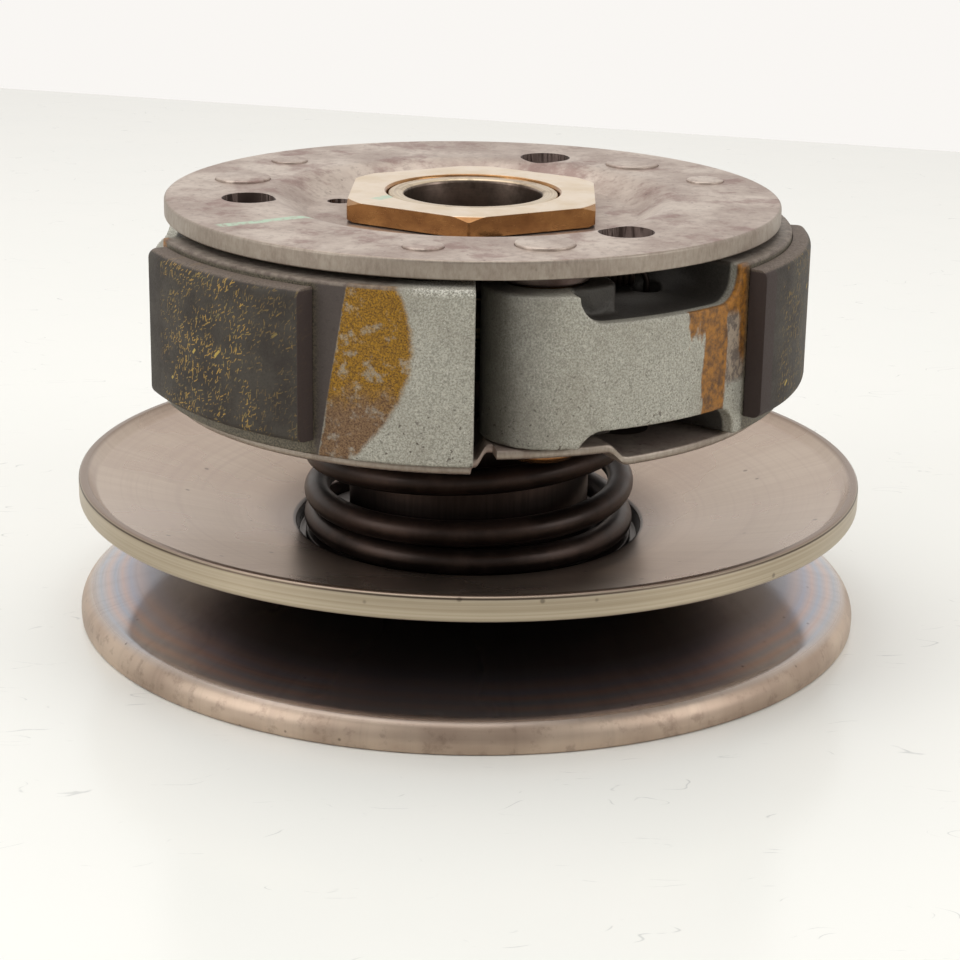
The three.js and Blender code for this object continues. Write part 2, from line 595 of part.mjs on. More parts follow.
// The shoe's return spring: a short coil in the next shoe's pocket and a long hooked wire.
function returnSpring() {
  const at = (share, height) => SPRING_HOOK.clone().lerp(SPRING_ANCHOR, share).setZ(height);
  const { wire, coil, wireHeight, coilHeight } = SHOE_SPRING;
  const corners = [
    at(0, 73), at(0.02, wireHeight), at(0.3, wireHeight), at(0.6, wireHeight), at(0.7, coilHeight),
    at(0.96, coilHeight), at(1, coilHeight - 1), at(1, 68),
  ];
  const hookedWire = swept(new THREE.CatmullRomCurve3(corners, false, 'centripetal'), wire, 5, 22);
  const [coilStart, coilEnd] = [at(0.715, coilHeight), at(0.945, coilHeight)];
  const middle = coilStart.clone().lerp(coilEnd, 0.5);
  const body = new THREE.CylinderGeometry(coil, coil, coilStart.distanceTo(coilEnd), TINY_ROUND)
    .rotateZ(Math.PI / 2)
    .rotateZ(Math.atan2(coilEnd.y - coilStart.y, coilEnd.x - coilStart.x))
    .translate(middle.x, middle.y, middle.z);
  return join(hookedWire, body);
}

function station(number) {
  const group = new THREE.Group();
  group.rotation.z = rad(stationAzimuths()[number - 1]);
  group.add(
    piece(`pivot_pin_${number}`, pivotPin(), 'plate'),
    piece(`pin_cap_${number}`, pinCap(), 'zinc'),
    piece(`stop_pin_${number}`, stopPin(), 'plate'),
    piece(`stop_rubber_${number}`, stopRubber(), 'rubber'),
    piece(`shoe_${number}`, shoe(), 'castAluminium'),
    piece(`lining_${number}`, lining(), 'lining'),
    piece(`pivot_bush_${number}`, pivotBush(), 'bronze'),
    piece(`return_spring_${number}`, returnSpring(), 'springSteel'),
  );
  return group;
}

// ---------------------------------------------------------------- the whole pulley
const pulley = new THREE.Group();

pulley.add(
  piece('fixed_face', fixedFace(), 'fixedSheave'),
  piece('fixed_boss', fixedBoss(), 'steel'),
  piece('needle_shell', needleShell(), 'steel'),
  piece('needle_cage', needleCage(), 'steel'),
  piece('bearing_outer_race', race(BEARING.outer, BEARING.outerFace), 'steel'),
  piece('bearing_inner_race', race(BEARING.inner, BEARING.innerFace), 'steel'),
  piece('ball_cage', ballCage(), 'steel'),
  piece('bearing_snap_ring', snapRing(), 'springSteel'),
  piece('movable_face', movableFace(), 'sheave'),
  piece('movable_boss', movableBoss(), 'steel'),
  piece('o_ring_lower', oRing(O_RING_HEIGHTS[0]), 'rubber'),
  piece('o_ring_upper', oRing(O_RING_HEIGHTS[1]), 'rubber'),
  piece('oil_seal_lower', oilSeal(MOVABLE.hubBottom + SEAL.inset), 'rubber'),
  piece('oil_seal_upper', oilSeal(CAM.top - SEAL.inset - SEAL.height), 'rubber'),
  piece('seal_collar', sealCollar(), 'collar'),
  piece('contra_spring', swept(new MainSpringPath(), SPRING.wire, 6, 92), 'springSteel'),
  piece('upper_spring_seat', upperSpringSeat(), 'collar'),
  piece('drive_plate', drivePlate(), 'plate'),
  piece('clutch_nut', clutchNut(), 'zinc'),
  piece('side_plate', sidePlate(), 'plate'),
);

GUIDE_AZIMUTHS.forEach((azimuth, i) => {
  const { radius, inner, outer } = GUIDE_PIN;
  const roller = cut(
    radialPost(azimuth, CAM.rollerRadius, BOSS.radius + 0.6, CAM.outer - GAP),
    radialPost(azimuth, radius + GAP, BOSS.radius, CAM.outer + 1),
  );
  pulley.add(piece(`guide_pin_${i + 1}`, radialPost(azimuth, radius, inner, outer), 'steel'));
  pulley.add(piece(`guide_roller_${i + 1}`, roller, 'steel'));
});

for (let number = 1; number <= STATIONS; number += 1) pulley.add(station(number));

export default pulley;
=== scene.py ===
# Looks of a scooter's driven belt pulley with its three-shoe centrifugal clutch. Every fine mesh
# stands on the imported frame. Lengths are in millimetres, turned into metres when a mesh is made;
# Z is the axis of rotation, and azimuths are in degrees from +X.
import json
import math

import bmesh
import bpy
from mathutils import Matrix, Vector


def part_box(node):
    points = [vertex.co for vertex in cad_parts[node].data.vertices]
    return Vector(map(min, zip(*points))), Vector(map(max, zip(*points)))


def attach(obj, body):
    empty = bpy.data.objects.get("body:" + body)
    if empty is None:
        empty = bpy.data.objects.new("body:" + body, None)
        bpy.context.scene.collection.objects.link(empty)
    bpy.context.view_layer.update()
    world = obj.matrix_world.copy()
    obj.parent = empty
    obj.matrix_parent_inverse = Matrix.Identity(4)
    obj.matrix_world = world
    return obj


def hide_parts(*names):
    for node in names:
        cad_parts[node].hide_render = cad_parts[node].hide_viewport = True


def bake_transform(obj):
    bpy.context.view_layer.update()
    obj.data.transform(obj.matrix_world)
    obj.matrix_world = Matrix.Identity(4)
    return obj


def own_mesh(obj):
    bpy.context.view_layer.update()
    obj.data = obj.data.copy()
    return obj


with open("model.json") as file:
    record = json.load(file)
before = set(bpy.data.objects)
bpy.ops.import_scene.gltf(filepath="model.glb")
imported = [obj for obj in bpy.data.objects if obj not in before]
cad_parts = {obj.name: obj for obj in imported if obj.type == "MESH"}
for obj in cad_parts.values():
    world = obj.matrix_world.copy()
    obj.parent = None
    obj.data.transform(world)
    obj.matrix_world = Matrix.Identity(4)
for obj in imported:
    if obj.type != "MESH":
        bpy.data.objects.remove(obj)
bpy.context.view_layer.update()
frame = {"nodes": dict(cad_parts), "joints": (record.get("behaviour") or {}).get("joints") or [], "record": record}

MM = 0.001
ROUND = 192            # segments round the big turned pieces
SMALL_ROUND = 48       # segments round pins and rivets
STATIONS = 3
STATION_STEP = 360 / STATIONS
FIRST_PIVOT_AZIMUTH = 165.8

behaviour = frame["record"]["behaviour"]
BODY_OF = {node: body for body, nodes in behaviour["bodies"].items() for node in nodes}


# ---------------------------------------------------------------- measures taken from the frame
def heights(node):
    """The lowest and highest point of a CAD node, in millimetres."""
    low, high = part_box(node)
    return low.z / MM, high.z / MM


def reach(node):
    """The outer radius of a CAD node that goes round the axis, in millimetres."""
    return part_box(node)[1].x / MM


def station_azimuth(number):
    return FIRST_PIVOT_AZIMUTH + STATION_STEP * (number - 1)


# ---------------------------------------------------------------- outlines
def polar(radius, azimuth, height=0.0):
    angle = math.radians(azimuth)
    return Vector((radius * math.cos(angle), radius * math.sin(angle), height))


def arc(centre, radius, start, end, steps):
    """Points of an arc, both ends included."""
    points = []
    for step in range(steps + 1):
        angle = math.radians(start + (end - start) * step / steps)
        points.append((centre[0] + radius * math.cos(angle), centre[1] + radius * math.sin(angle)))
    return points


def rounded(outline, steps=5):
    """A closed outline, with an arc at each corner that gives a radius as its third number."""
    points = []
    for i, corner in enumerate(outline):
        here = Vector(corner[:2])
        if len(corner) < 3:
            points.append(here)
            continue
        before = (Vector(outline[i - 1][:2]) - here).normalized()
        after = (Vector(outline[(i + 1) % len(outline)][:2]) - here).normalized()
        half = before.angle(after) / 2
        centre = here + (before + after).normalized() * corner[2] / math.sin(half)
        start = here + before * corner[2] / math.tan(half) - centre
        end = here + after * corner[2] / math.tan(half) - centre
        sweep = start.angle(end)
        for step in range(steps + 1):
            share = step / steps
            turned_by = math.sin((1 - share) * sweep) * start + math.sin(share * sweep) * end
            points.append(centre + turned_by / math.sin(sweep))
    return points


def obround(start, end, radius, steps=16):
    """The outline of a slot with round ends."""
    heading = math.degrees(math.atan2(end[1] - start[1], end[0] - start[0]))
    far_end = arc(end, radius, heading - 90, heading + 90, steps)
    return far_end + arc(start, radius, heading + 90, heading + 270, steps)


# ---------------------------------------------------------------- meshes
def solid(name, vertices, faces):
    """A closed mesh with its faces pointing out and smooth."""
    mesh = bpy.data.meshes.new(name)
    mesh.from_pydata([Vector(vertex) * MM for vertex in vertices], [], faces)
    shape = bmesh.new()
    shape.from_mesh(mesh)
    bmesh.ops.recalc_face_normals(shape, faces=shape.faces)
    shape.to_mesh(mesh)
    shape.free()
    mesh.shade_smooth()
    obj = bpy.data.objects.new(name, mesh)
    bpy.context.scene.collection.objects.link(obj)
    return obj


def turned(name, outline, segments=ROUND, sharp=32):
    """A solid of revolution about Z, from a closed outline of radius, height and corner radius."""
    profile = rounded(outline)
    vertices, faces, rings = [], [], []
    for radius, height in profile:
        count = segments if radius > 1e-6 else 1
        first = len(vertices)
        vertices += [polar(radius, 360 * k / segments, height) for k in range(count)]
        rings.append([first + k % count for k in range(segments)])
    for i, ring in enumerate(rings):
        after = rings[(i + 1) % len(rings)]
        for k in range(segments):
            near = (k + 1) % segments
            corners = list(dict.fromkeys([ring[k], after[k], after[near], ring[near]]))
            if len(corners) > 2:
                faces.append(corners)
    obj = solid(name, vertices, faces)
    obj.data.set_sharp_from_angle(angle=math.radians(sharp))
    return obj


def washer(name, node, inner, outer, inner_corner, outer_corner, segments=ROUND):
    """A plain ring as tall as its CAD node."""
    bottom, top = heights(node)
    return turned(name, [(inner, bottom, inner_corner), (outer, bottom, outer_corner),
                         (outer, top, outer_corner), (inner, top, inner_corner)], segments)


def post(name, place, radius, bottom, top, segments=SMALL_ROUND):
    """An upright cylinder standing at a place."""
    obj = turned(name, [(0, bottom), (radius, bottom), (radius, top), (0, top)], segments)
    obj.data.transform(Matrix.Translation((place[0] * MM, place[1] * MM, 0)))
    return obj


def prism(name, outline, bottom, top):
    """An upright block over a flat outline."""
    count = len(outline)
    vertices = [(*point, bottom) for point in outline] + [(*point, top) for point in outline]
    sides = [(i, (i + 1) % count, count + (i + 1) % count, count + i) for i in range(count)]
    return solid(name, vertices, [tuple(range(count)), tuple(range(count, 2 * count)), *sides])


def sector(name, inner, outer, start, end, bottom, top, step=1.5):
    """A slice of a ring, between two azimuths and two heights."""
    steps = max(2, round((end - start) / step))
    outline = arc((0, 0), outer, start, end, steps) + arc((0, 0), inner, end, start, steps)
    return prism(name, outline, bottom, top)


def bent(name, outline, radius, inner, outer):
    """A block over an outline of arc length and height, bent round the axis at that radius."""
    places = [(math.degrees(along / radius), height) for along, height in outline]
    count = len(outline)
    vertices = [polar(depth, azimuth, height) for depth in (inner, outer) for azimuth, height in places]
    sides = [(i, (i + 1) % count, count + (i + 1) % count, count + i) for i in range(count)]
    return solid(name, vertices, [tuple(range(count)), tuple(range(count, 2 * count)), *sides])


def lofted(name, sections, closed):
    """A solid through a row of sections with as many corners each; it may close on itself."""
    corners = len(sections[0])
    vertices = [vertex for section in sections for vertex in section]
    faces = []
    for i in range(len(sections) if closed else len(sections) - 1):
        here, after = corners * i, corners * ((i + 1) % len(sections))
        for k in range(corners):
            near = (k + 1) % corners
            faces.append((here + k, after + k, after + near, here + near))
    if not closed:
        faces += [tuple(range(corners)), tuple(range(len(vertices) - corners, len(vertices)))]
    return solid(name, vertices, faces)


def wire(name, path, radius, sides=16):
    """A round rod along a path of close points, with domed ends."""
    points = [Vector(point) for point in path]
    headings = [(points[min(i + 1, len(points) - 1)] - points[max(i - 1, 0)]).normalized()
                for i in range(len(points))]
    across = headings[0].orthogonal().normalized()
    sections = []
    for point, heading in zip(points, headings):
        across = (across - heading * across.dot(heading)).normalized()
        sideways = heading.cross(across)
        sections.append([point + radius * (across * math.cos(turn) + sideways * math.sin(turn))
                         for turn in (2 * math.pi * k / sides for k in range(sides))])
    dome = []
    for share in (0.5, 0.85):
        rise = radius * 0.5 * share
        scale = math.sqrt(1 - share * share)
        dome.append((rise, scale))
    first = [[points[0] - headings[0] * rise + (v - points[0]) * scale for v in sections[0]]
             for rise, scale in reversed(dome)]
    last = [[points[-1] + headings[-1] * rise + (v - points[-1]) * scale for v in sections[-1]]
            for rise, scale in dome]
    return lofted(name, first + sections + last, closed=False)


def applied(obj):
    """The same object, with its modifiers worked into its mesh."""
    graph = bpy.context.evaluated_depsgraph_get()
    mesh = bpy.data.meshes.new_from_object(obj.evaluated_get(graph))
    obj.modifiers.clear()
    obj.data = mesh
    return obj


def combined(obj, operation, *others):
    """obj joined to the other solids, cut by them, or cut down to what it shares with them."""
    for other in others:
        modifier = obj.modifiers.new(other.name, "BOOLEAN")
        modifier.operation = operation
        modifier.object = other
        modifier.solver = "EXACT"
    applied(obj)
    for other in others:
        bpy.data.objects.remove(other)
    return obj


def eased(obj, width, segments=3, angle=30):
    """The object with its edges rounded, and its flat faces kept flat in the shading."""
    bevel = obj.modifiers.new("edge rounding", "BEVEL")
    bevel.width = width * MM
    bevel.segments = segments
    bevel.limit_method = "ANGLE"
    bevel.angle_limit = math.radians(angle)
    bevel.use_clamp_overlap = True
    obj.modifiers.new("flat faces", "WEIGHTED_NORMAL").keep_sharp = False
    obj.data.shade_smooth()
    return obj


def cast(obj, grain, passes):
    """The object as a casting: its surface made anew in small even faces, with soft edges."""
    remesh = obj.modifiers.new("even faces", "REMESH")
    remesh.mode = "VOXEL"
    remesh.voxel_size = grain * MM
    remesh.use_smooth_shade = True
    smooth = obj.modifiers.new("soft edges", "SMOOTH")
    smooth.factor = 0.5
    smooth.iterations = passes
    return applied(obj)


# ---------------------------------------------------------------- node materials
def srgb(red, green, blue):
    """A colour given as screen values from 0 to 255, as the shader wants it."""
    def linear(value):
        share = value / 255
        return share / 12.92 if share <= 0.04045 else ((share + 0.055) / 1.055) ** 2.4
    return (linear(red), linear(green), linear(blue), 1.0)


class Signal:
    """A number or a vector that varies over a surface: the output of one node."""

    def __init__(self, look, socket):
        self.look = look
        self.socket = socket

    def __add__(self, other):
        return self.look.math("ADD", self, other)

    def __sub__(self, other):
        return self.look.math("SUBTRACT", self, other)

    def __rsub__(self, other):
        return self.look.math("SUBTRACT", other, self)

    def __mul__(self, other):
        return self.look.math("MULTIPLY", self, other)

    def __truediv__(self, other):
        return self.look.math("DIVIDE", self, other)

    __radd__ = __add__
    __rmul__ = __mul__


class Look:
    """A node material on one Principled shader, with short calls for the maths before it."""

    def __init__(self, name, turn=0.0, **constants):
        """turn is the azimuth of the station whose own frame the look is laid out in."""
        self.material = bpy.data.materials.new(name)
        self.material.use_nodes = True
        self.tree = self.material.node_tree
        self.shader = self.tree.nodes["Principled BSDF"]
        for socket, value in constants.items():
            self.shader.inputs[socket.replace("_", " ")].default_value = value
        place = self.node("TexCoord", output="Object")
        if turn:
            back = -math.radians(turn)
            place = self.node("VectorRotate", place, None, None, back, rotation_type="Z_AXIS")
        self.place = self.node("VectorMath", place, (1 / MM,) * 3, operation="MULTIPLY")
        self.x, self.y, self.z = self.split(self.place)
        self.radius = self.math("SQRT", self.x * self.x + self.y * self.y)
        self.azimuth = self.math("DEGREES", self.math("ARCTAN2", self.y, self.x))

    def join(self, value, socket):
        if isinstance(value, Signal):
            self.tree.links.new(value.socket, socket)
        else:
            socket.default_value = srgb(*value) if socket.type == "RGBA" else value

    def node(self, kind, *inputs, output=0, **settings):
        node = self.tree.nodes.new("ShaderNode" + kind)
        for setting, value in settings.items():
            setattr(node, setting, value)
        for index, value in enumerate(inputs):
            if value is not None:
                self.join(value, node.inputs[index])
        return Signal(self, node.outputs[output])

    def math(self, operation, *values):
        return self.node("Math", *values, operation=operation)

    def vector(self, x, y, z=0.0):
        return self.node("CombineXYZ", x, y, z)

    def split(self, vector):
        separate = self.tree.nodes.new("ShaderNodeSeparateXYZ")
        self.join(vector, separate.inputs[0])
        return [Signal(self, socket) for socket in separate.outputs]

    def noise(self, vector, size, detail=2.0, roughness=0.5, seed=0.0):
        """Cloudy noise from 0 to 1, whose lumps are about size millimetres across."""
        node = self.tree.nodes.new("ShaderNodeTexNoise")
        moved = self.node("VectorMath", vector, (seed * 17.3, seed * 31.7, seed * 11.9), operation="ADD")
        self.join(moved, node.inputs["Vector"])
        node.inputs["Scale"].default_value = 1 / size
        node.inputs["Detail"].default_value = detail
        node.inputs["Roughness"].default_value = roughness
        return Signal(self, node.outputs["Fac"])

    def clouds(self, size, detail=2.0, roughness=0.5, seed=0.0):
        return self.noise(self.place, size, detail, roughness, seed)

    def cells(self, vector, size, dimensions="3D"):
        """The distance, random colour and centre of the nearest of scattered points."""
        node = self.tree.nodes.new("ShaderNodeTexVoronoi")
        node.voronoi_dimensions = dimensions
        self.join(vector, node.inputs["Vector"])
        node.inputs["Scale"].default_value = 1 / size
        return [Signal(self, node.outputs[name]) for name in ("Distance", "Color", "Position")]

    def step(self, value, low, high):
        """0 below low and 1 above high, smooth between; it falls instead where low is the greater."""
        if low <= high:
            return self.node("MapRange", value, low, high, 0.0, 1.0, interpolation_type="SMOOTHSTEP")
        return self.node("MapRange", value, high, low, 1.0, 0.0, interpolation_type="SMOOTHSTEP")

    def band(self, value, low, high, soft):
        """1 between low and high, and 0 outside."""
        return self.step(value, low - soft, low + soft) * self.step(value, high + soft, high - soft)

    def mix(self, share, first, second):
        """A blend of two colours, each a signal or three screen values from 0 to 255."""
        node = self.tree.nodes.new("ShaderNodeMix")
        node.data_type = "RGBA"
        self.join(share, node.inputs[0])
        self.join(first, node.inputs[6])
        self.join(second, node.inputs[7])
        return Signal(self, node.outputs[2])

    def lay(self, share, tint):
        """Lays a tint over the colour so far."""
        self.colour = self.mix(share, self.colour, tint)

    def ramp(self, value, *stops):
        """Colours along a value: pairs of a place from 0 to 1 and a screen colour."""
        node = self.tree.nodes.new("ShaderNodeValToRGB")
        self.join(value, node.inputs[0])
        elements = node.color_ramp.elements
        while len(elements) < len(stops):
            elements.new(0.5)
        for element, (place, colour) in zip(elements, stops):
            element.position = place
            element.color = srgb(*colour)
        return Signal(self, node.outputs[0])

    def done(self, roughness, height=None):
        """The finished material; height is in millimetres and only bends the light."""
        self.join(self.colour, self.shader.inputs["Base Color"])
        self.join(roughness, self.shader.inputs["Roughness"])
        if height is not None:
            bump = self.tree.nodes.new("ShaderNodeBump")
            bump.inputs["Distance"].default_value = MM
            self.join(height, bump.inputs["Height"])
            self.join(Signal(self, bump.outputs[0]), self.shader.inputs["Normal"])
        return self.material


def movable_sheave_look():
    """Satin coned steel with faint radial scratches, and a turned champagne band at the rim."""
    rim = reach("movable_face")
    rim_top = heights("movable_face")[1]
    look = Look("sheave_steel", Metallic=0.95)
    fan = look.vector(look.radius * 0.02, look.azimuth * 0.9, look.z * 0.02)
    streaks = look.noise(fan, 1.0, 4, 0.65)
    fine = look.noise(fan, 0.3, 3, 0.6, seed=2)
    clouds = look.clouds(30, 3, 0.55)
    rings = look.noise(look.vector(look.radius, look.azimuth * 0.01, 0.0), 1.3, 3, 0.6)
    look.colour = look.mix(look.step(clouds, 0.35, 0.65), (182, 164, 149), (196, 180, 165))
    look.lay(look.step(streaks, 0.3, 0.75) * 0.4, (172, 152, 138))
    look.lay(look.step(fine, 0.62, 0.72) * 0.25, (222, 208, 192))
    look.lay(look.step(rings, 0.45, 0.7) * 0.3, (170, 150, 140))
    # painted shade and painted reflection of the spring and clutch above: darker towards the hub, darkest in the
    # recess round the spring
    look.lay(look.step(look.radius, 44, 33) * 0.6, (96, 82, 76))
    look.lay(look.step(look.radius, 34.8, 34.2) * 0.9, (48, 41, 38))
    lip = look.step(look.radius, rim - 2.2, rim - 1.4)
    look.lay(lip * 0.8, (128, 110, 98))
    band = look.step(look.radius, rim - 0.35, rim - 0.15)
    turning = look.noise(look.vector(look.z, look.azimuth * 0.004, 0.0), 0.5, 3, 0.7)
    champagne = look.mix(look.step(turning, 0.3, 0.7), (186, 173, 152), (166, 152, 130))
    look.lay(band, champagne)
    edge_line = look.band(look.z, rim_top - 0.55, rim_top - 0.25, 0.12) * band
    look.lay(edge_line * 0.85, (64, 48, 42))
    specks = look.step(look.cells(look.place, 7)[0], 0.09, 0.04)
    look.lay(specks * 0.5, (60, 48, 42))
    roughness = 0.24 + look.step(clouds, 0.3, 0.7) * 0.08 + band * 0.1
    return look.done(roughness, streaks * 0.012 + rings * 0.006)


def fixed_sheave_look():
    """Burnished brown rim, a faint heat-tinted ring just inside it, and a polished cone with painted shade and
    reflection darkening it further in.
    """
    rim = reach("fixed_face")
    look = Look("fixed_sheave_steel", Metallic=0.95)
    fan = look.vector(look.radius * 0.02, look.azimuth * 0.8, look.z * 0.02)
    streaks = look.noise(fan, 1.0, 4, 0.6)
    clouds = look.clouds(22, 3, 0.6)
    rings = look.noise(look.vector(look.radius, look.azimuth * 0.012, 0.0), 0.9, 3, 0.6)
    wander = look.clouds(34, 2, 0.5, seed=3) * 3.0
    from_rim = rim - look.radius + wander - 1.5
    # the ramp runs from the heat-tint rings near the rim into painted shade and painted reflection of the movable
    # face: darker further in
    tint = look.ramp(
        from_rim / 24.0,
        (0.0, (178, 160, 146)), (0.1, (186, 174, 166)), (0.16, (174, 176, 182)),
        (0.22, (190, 172, 166)), (0.28, (162, 166, 177)), (0.34, (180, 160, 155)),
        (0.4, (152, 152, 164)), (0.47, (156, 143, 143)), (0.56, (124, 122, 130)),
        (0.7, (104, 99, 101)), (1.0, (88, 83, 82)),
    )
    above = look.step(look.z, 4.4, 5.6)
    brown = look.mix(look.step(clouds, 0.35, 0.7), (204, 184, 165), (174, 153, 136))
    look.colour = look.mix(above, brown, tint)
    look.lay(look.step(streaks, 0.45, 0.8) * 0.14, (104, 90, 84))
    look.lay(look.step(rings, 0.5, 0.75) * 0.16, (120, 106, 99))
    specks = look.step(look.cells(look.place, 5)[0], 0.08, 0.03)
    look.lay(specks * 0.55, (62, 48, 42))
    scuffs = look.step(look.clouds(3, 4, 0.65, seed=7), 0.52, 0.7)
    look.lay(scuffs * (1.0 - above) * 0.4, (122, 102, 90))
    roughness = 0.13 + look.step(look.z, 6.5, 4.0) * 0.28 + clouds * 0.05
    return look.done(roughness, streaks * 0.003 + rings * 0.003)


LARGE_HOLE = {"radius": 5.0, "circle": 42.5, "turn": 24}
SMALL_HOLE = {"radius": 2.3, "circle": 27.0, "turn": -3}      # turn: azimuth past the pivot pin
CHALK_WIDTH, CHALK_GREEN = 2.3, (180, 206, 182)
PLATE_CHALK = (polar(55.5, -143.7), polar(36.5, -141.7))
NUT_CHALK = (polar(20.8, -150.9), polar(14.6, -160.2))


def hole_wall(look, hole):
    """1 on the wall of the hole that each station has in the drive plate, where painted shade is laid."""
    past = look.azimuth - (FIRST_PIVOT_AZIMUTH + hole["turn"] - STATION_STEP / 2)
    folded = look.math("RADIANS", look.math("FLOORED_MODULO", past, STATION_STEP) - STATION_STEP / 2)
    x = look.radius * look.math("COSINE", folded) - hole["circle"]
    y = look.radius * look.math("SINE", folded)
    return look.step(look.math("SQRT", x * x + y * y), hole["radius"] + 0.14, hole["radius"] + 0.04)


def plate_look(name, seed, drawn):
    """Hot-rolled steel, mottled taupe and grey with purple-brown stains; it may bear chalk."""
    look = Look(name, Metallic=0.75)
    clouds = look.clouds(15, 5, 0.62, seed)
    stains = look.clouds(9, 5, 0.66, seed + 1)
    grain = look.clouds(0.55, 3, 0.7, seed + 2)
    speckle = look.clouds(1.5, 4, 0.65, seed + 3)
    look.colour = look.mix(look.step(clouds, 0.34, 0.64), (198, 184, 172), (164, 147, 137))
    look.lay(look.step(stains, 0.5, 0.66) * 0.6, (132, 102, 97))
    look.lay(look.step(speckle, 0.48, 0.7) * 0.42, (126, 108, 100))
    look.lay(look.step(grain, 0.52, 0.78) * 0.3, (214, 202, 190))
    pits = look.step(look.cells(look.place, 3.2)[0], 0.1, 0.04)
    look.lay(pits * 0.6, (92, 76, 72))
    rim = reach("drive_plate")
    side = look.step(look.radius, rim - 0.5, rim - 0.2)
    scrape = look.noise(look.vector(look.azimuth * 1.6, look.z * 0.5, 0.0), 1.0, 4, 0.7, seed)
    edge = look.mix(look.step(scrape, 0.3, 0.75), (162, 152, 138), (137, 125, 112))
    look.lay(side * 0.75, edge)
    # painted shade under the drive plate, on the pin spacers below it, and down the walls of the plate's holes
    shade = look.band(look.z, 66.0, 78.6, 0.2) * look.step(look.radius, 34, 35) * 0.7
    hole_wall_shade = look.math("MAXIMUM", hole_wall(look, LARGE_HOLE), hole_wall(look, SMALL_HOLE)) * 0.9
    look.lay(look.math("MAXIMUM", shade, hole_wall_shade), (72, 56, 51))
    if drawn:
        look.lay(chalk_stripe(look, *drawn), CHALK_GREEN)
    roughness = 0.4 + look.step(clouds, 0.3, 0.7) * 0.1 + look.step(stains, 0.5, 0.7) * 0.1
    height = grain * 0.02 + speckle * 0.03 - pits * 0.02 + side * scrape * 0.02
    return look.done(roughness, height)


def chalk_stripe(look, start, end):
    """How much of a faint assembly stripe, from one place to another, is left on the surface."""
    run = end - start
    x, y = look.x - start.x, look.y - start.y
    along = (x * run.x + y * run.y) / run.length
    across = (y * run.x - x * run.y) / run.length
    frayed = across + look.clouds(4, 3, 0.6, seed=9) * 1.4 - 0.7
    stripe = look.band(frayed, -CHALK_WIDTH / 2, CHALK_WIDTH / 2, 0.35)
    worn = look.step(look.clouds(1.1, 3, 0.7, seed=5), 0.3, 0.55)
    return stripe * look.band(along, 0.0, run.length, 0.8) * worn * 0.9


def zinc_look():
    """Yellow-passivated zinc: straw where it faces up, and amber brown round the sides."""
    look = Look("zinc_yellow", Metallic=0.9)
    clouds = look.clouds(7, 4, 0.6)
    fine = look.clouds(0.8, 4, 0.65, seed=1)
    look.colour = look.mix(look.step(clouds, 0.3, 0.7), (172, 128, 80), (138, 97, 60))
    look.lay(look.step(fine, 0.5, 0.8) * 0.35, (122, 82, 52))
    nut_top = heights("clutch_nut")[1]
    top = look.step(look.z, nut_top - 0.12, nut_top - 0.03)
    straw = look.mix(look.step(clouds, 0.35, 0.7), (228, 212, 192), (216, 196, 168))
    straw = look.mix(look.step(fine, 0.55, 0.8) * 0.25, straw, (190, 166, 138))
    look.lay(top, straw)
    look.lay(top * chalk_stripe(look, *NUT_CHALK), CHALK_GREEN)
    along = look.noise(look.vector(look.x, look.y, look.z * 6), 2.5, 4, 0.6, seed=4)
    roughness = 0.2 + look.step(along, 0.4, 0.8) * 0.12 + top * 0.12
    return look.done(roughness, fine * 0.01)


def turned_steel_look(name, light, dark, roughness, greased_bore=0.0):
    """Machined steel: fine rings round the axis, thin smears of old grease, a dark bore."""
    look = Look(name, Metallic=0.95)
    rings = look.noise(look.vector(look.radius * 1.0, look.z, look.azimuth * 0.004), 0.35, 3, 0.7)
    grease = look.clouds(5, 4, 0.65, seed=6)
    look.colour = look.mix(look.step(rings, 0.3, 0.75), light, dark)
    look.lay(look.step(grease, 0.52, 0.7) * 0.5, (84, 68, 58))
    bore = look.step(look.radius, greased_bore + 0.25, greased_bore + 0.1)
    film = look.mix(look.step(grease, 0.3, 0.7), (132, 115, 107), (66, 54, 49))
    look.lay(bore * 0.9, film)
    return look.done(roughness + look.step(grease, 0.4, 0.7) * 0.14, rings * 0.008)


def spring_look():
    """Oiled dark spring wire with brown wear and fine drawing marks."""
    look = Look("spring_steel", Metallic=0.75)
    clouds = look.clouds(8, 4, 0.6)
    fine = look.clouds(0.6, 4, 0.7, seed=1)
    look.colour = look.mix(look.step(clouds, 0.35, 0.7), (50, 41, 37), (72, 58, 52))
    look.lay(look.step(fine, 0.55, 0.8) * 0.4, (34, 28, 26))
    return look.done(0.3 + look.step(clouds, 0.3, 0.7) * 0.14, fine * 0.015)


def collar_look():
    """Pressed steel, brown and streaked along the pull."""
    look = Look("collar_steel", Metallic=0.85)
    streaks = look.noise(look.vector(look.azimuth * 0.5, look.z * 0.06, look.radius * 0.2), 1.0, 4, 0.6)
    clouds = look.clouds(9, 3, 0.6, seed=2)
    look.colour = look.mix(look.step(streaks, 0.3, 0.75), (62, 51, 46), (48, 39, 35))
    look.lay(look.step(clouds, 0.5, 0.75) * 0.5, (52, 42, 38))
    return look.done(0.34 + clouds * 0.1, streaks * 0.006)


LINING_START, LINING_END = 38.5, 77.8     # azimuths of the lining's ends in its station
LINING_SLANT = 0.9                        # how much its worn face ends before its back, in degrees


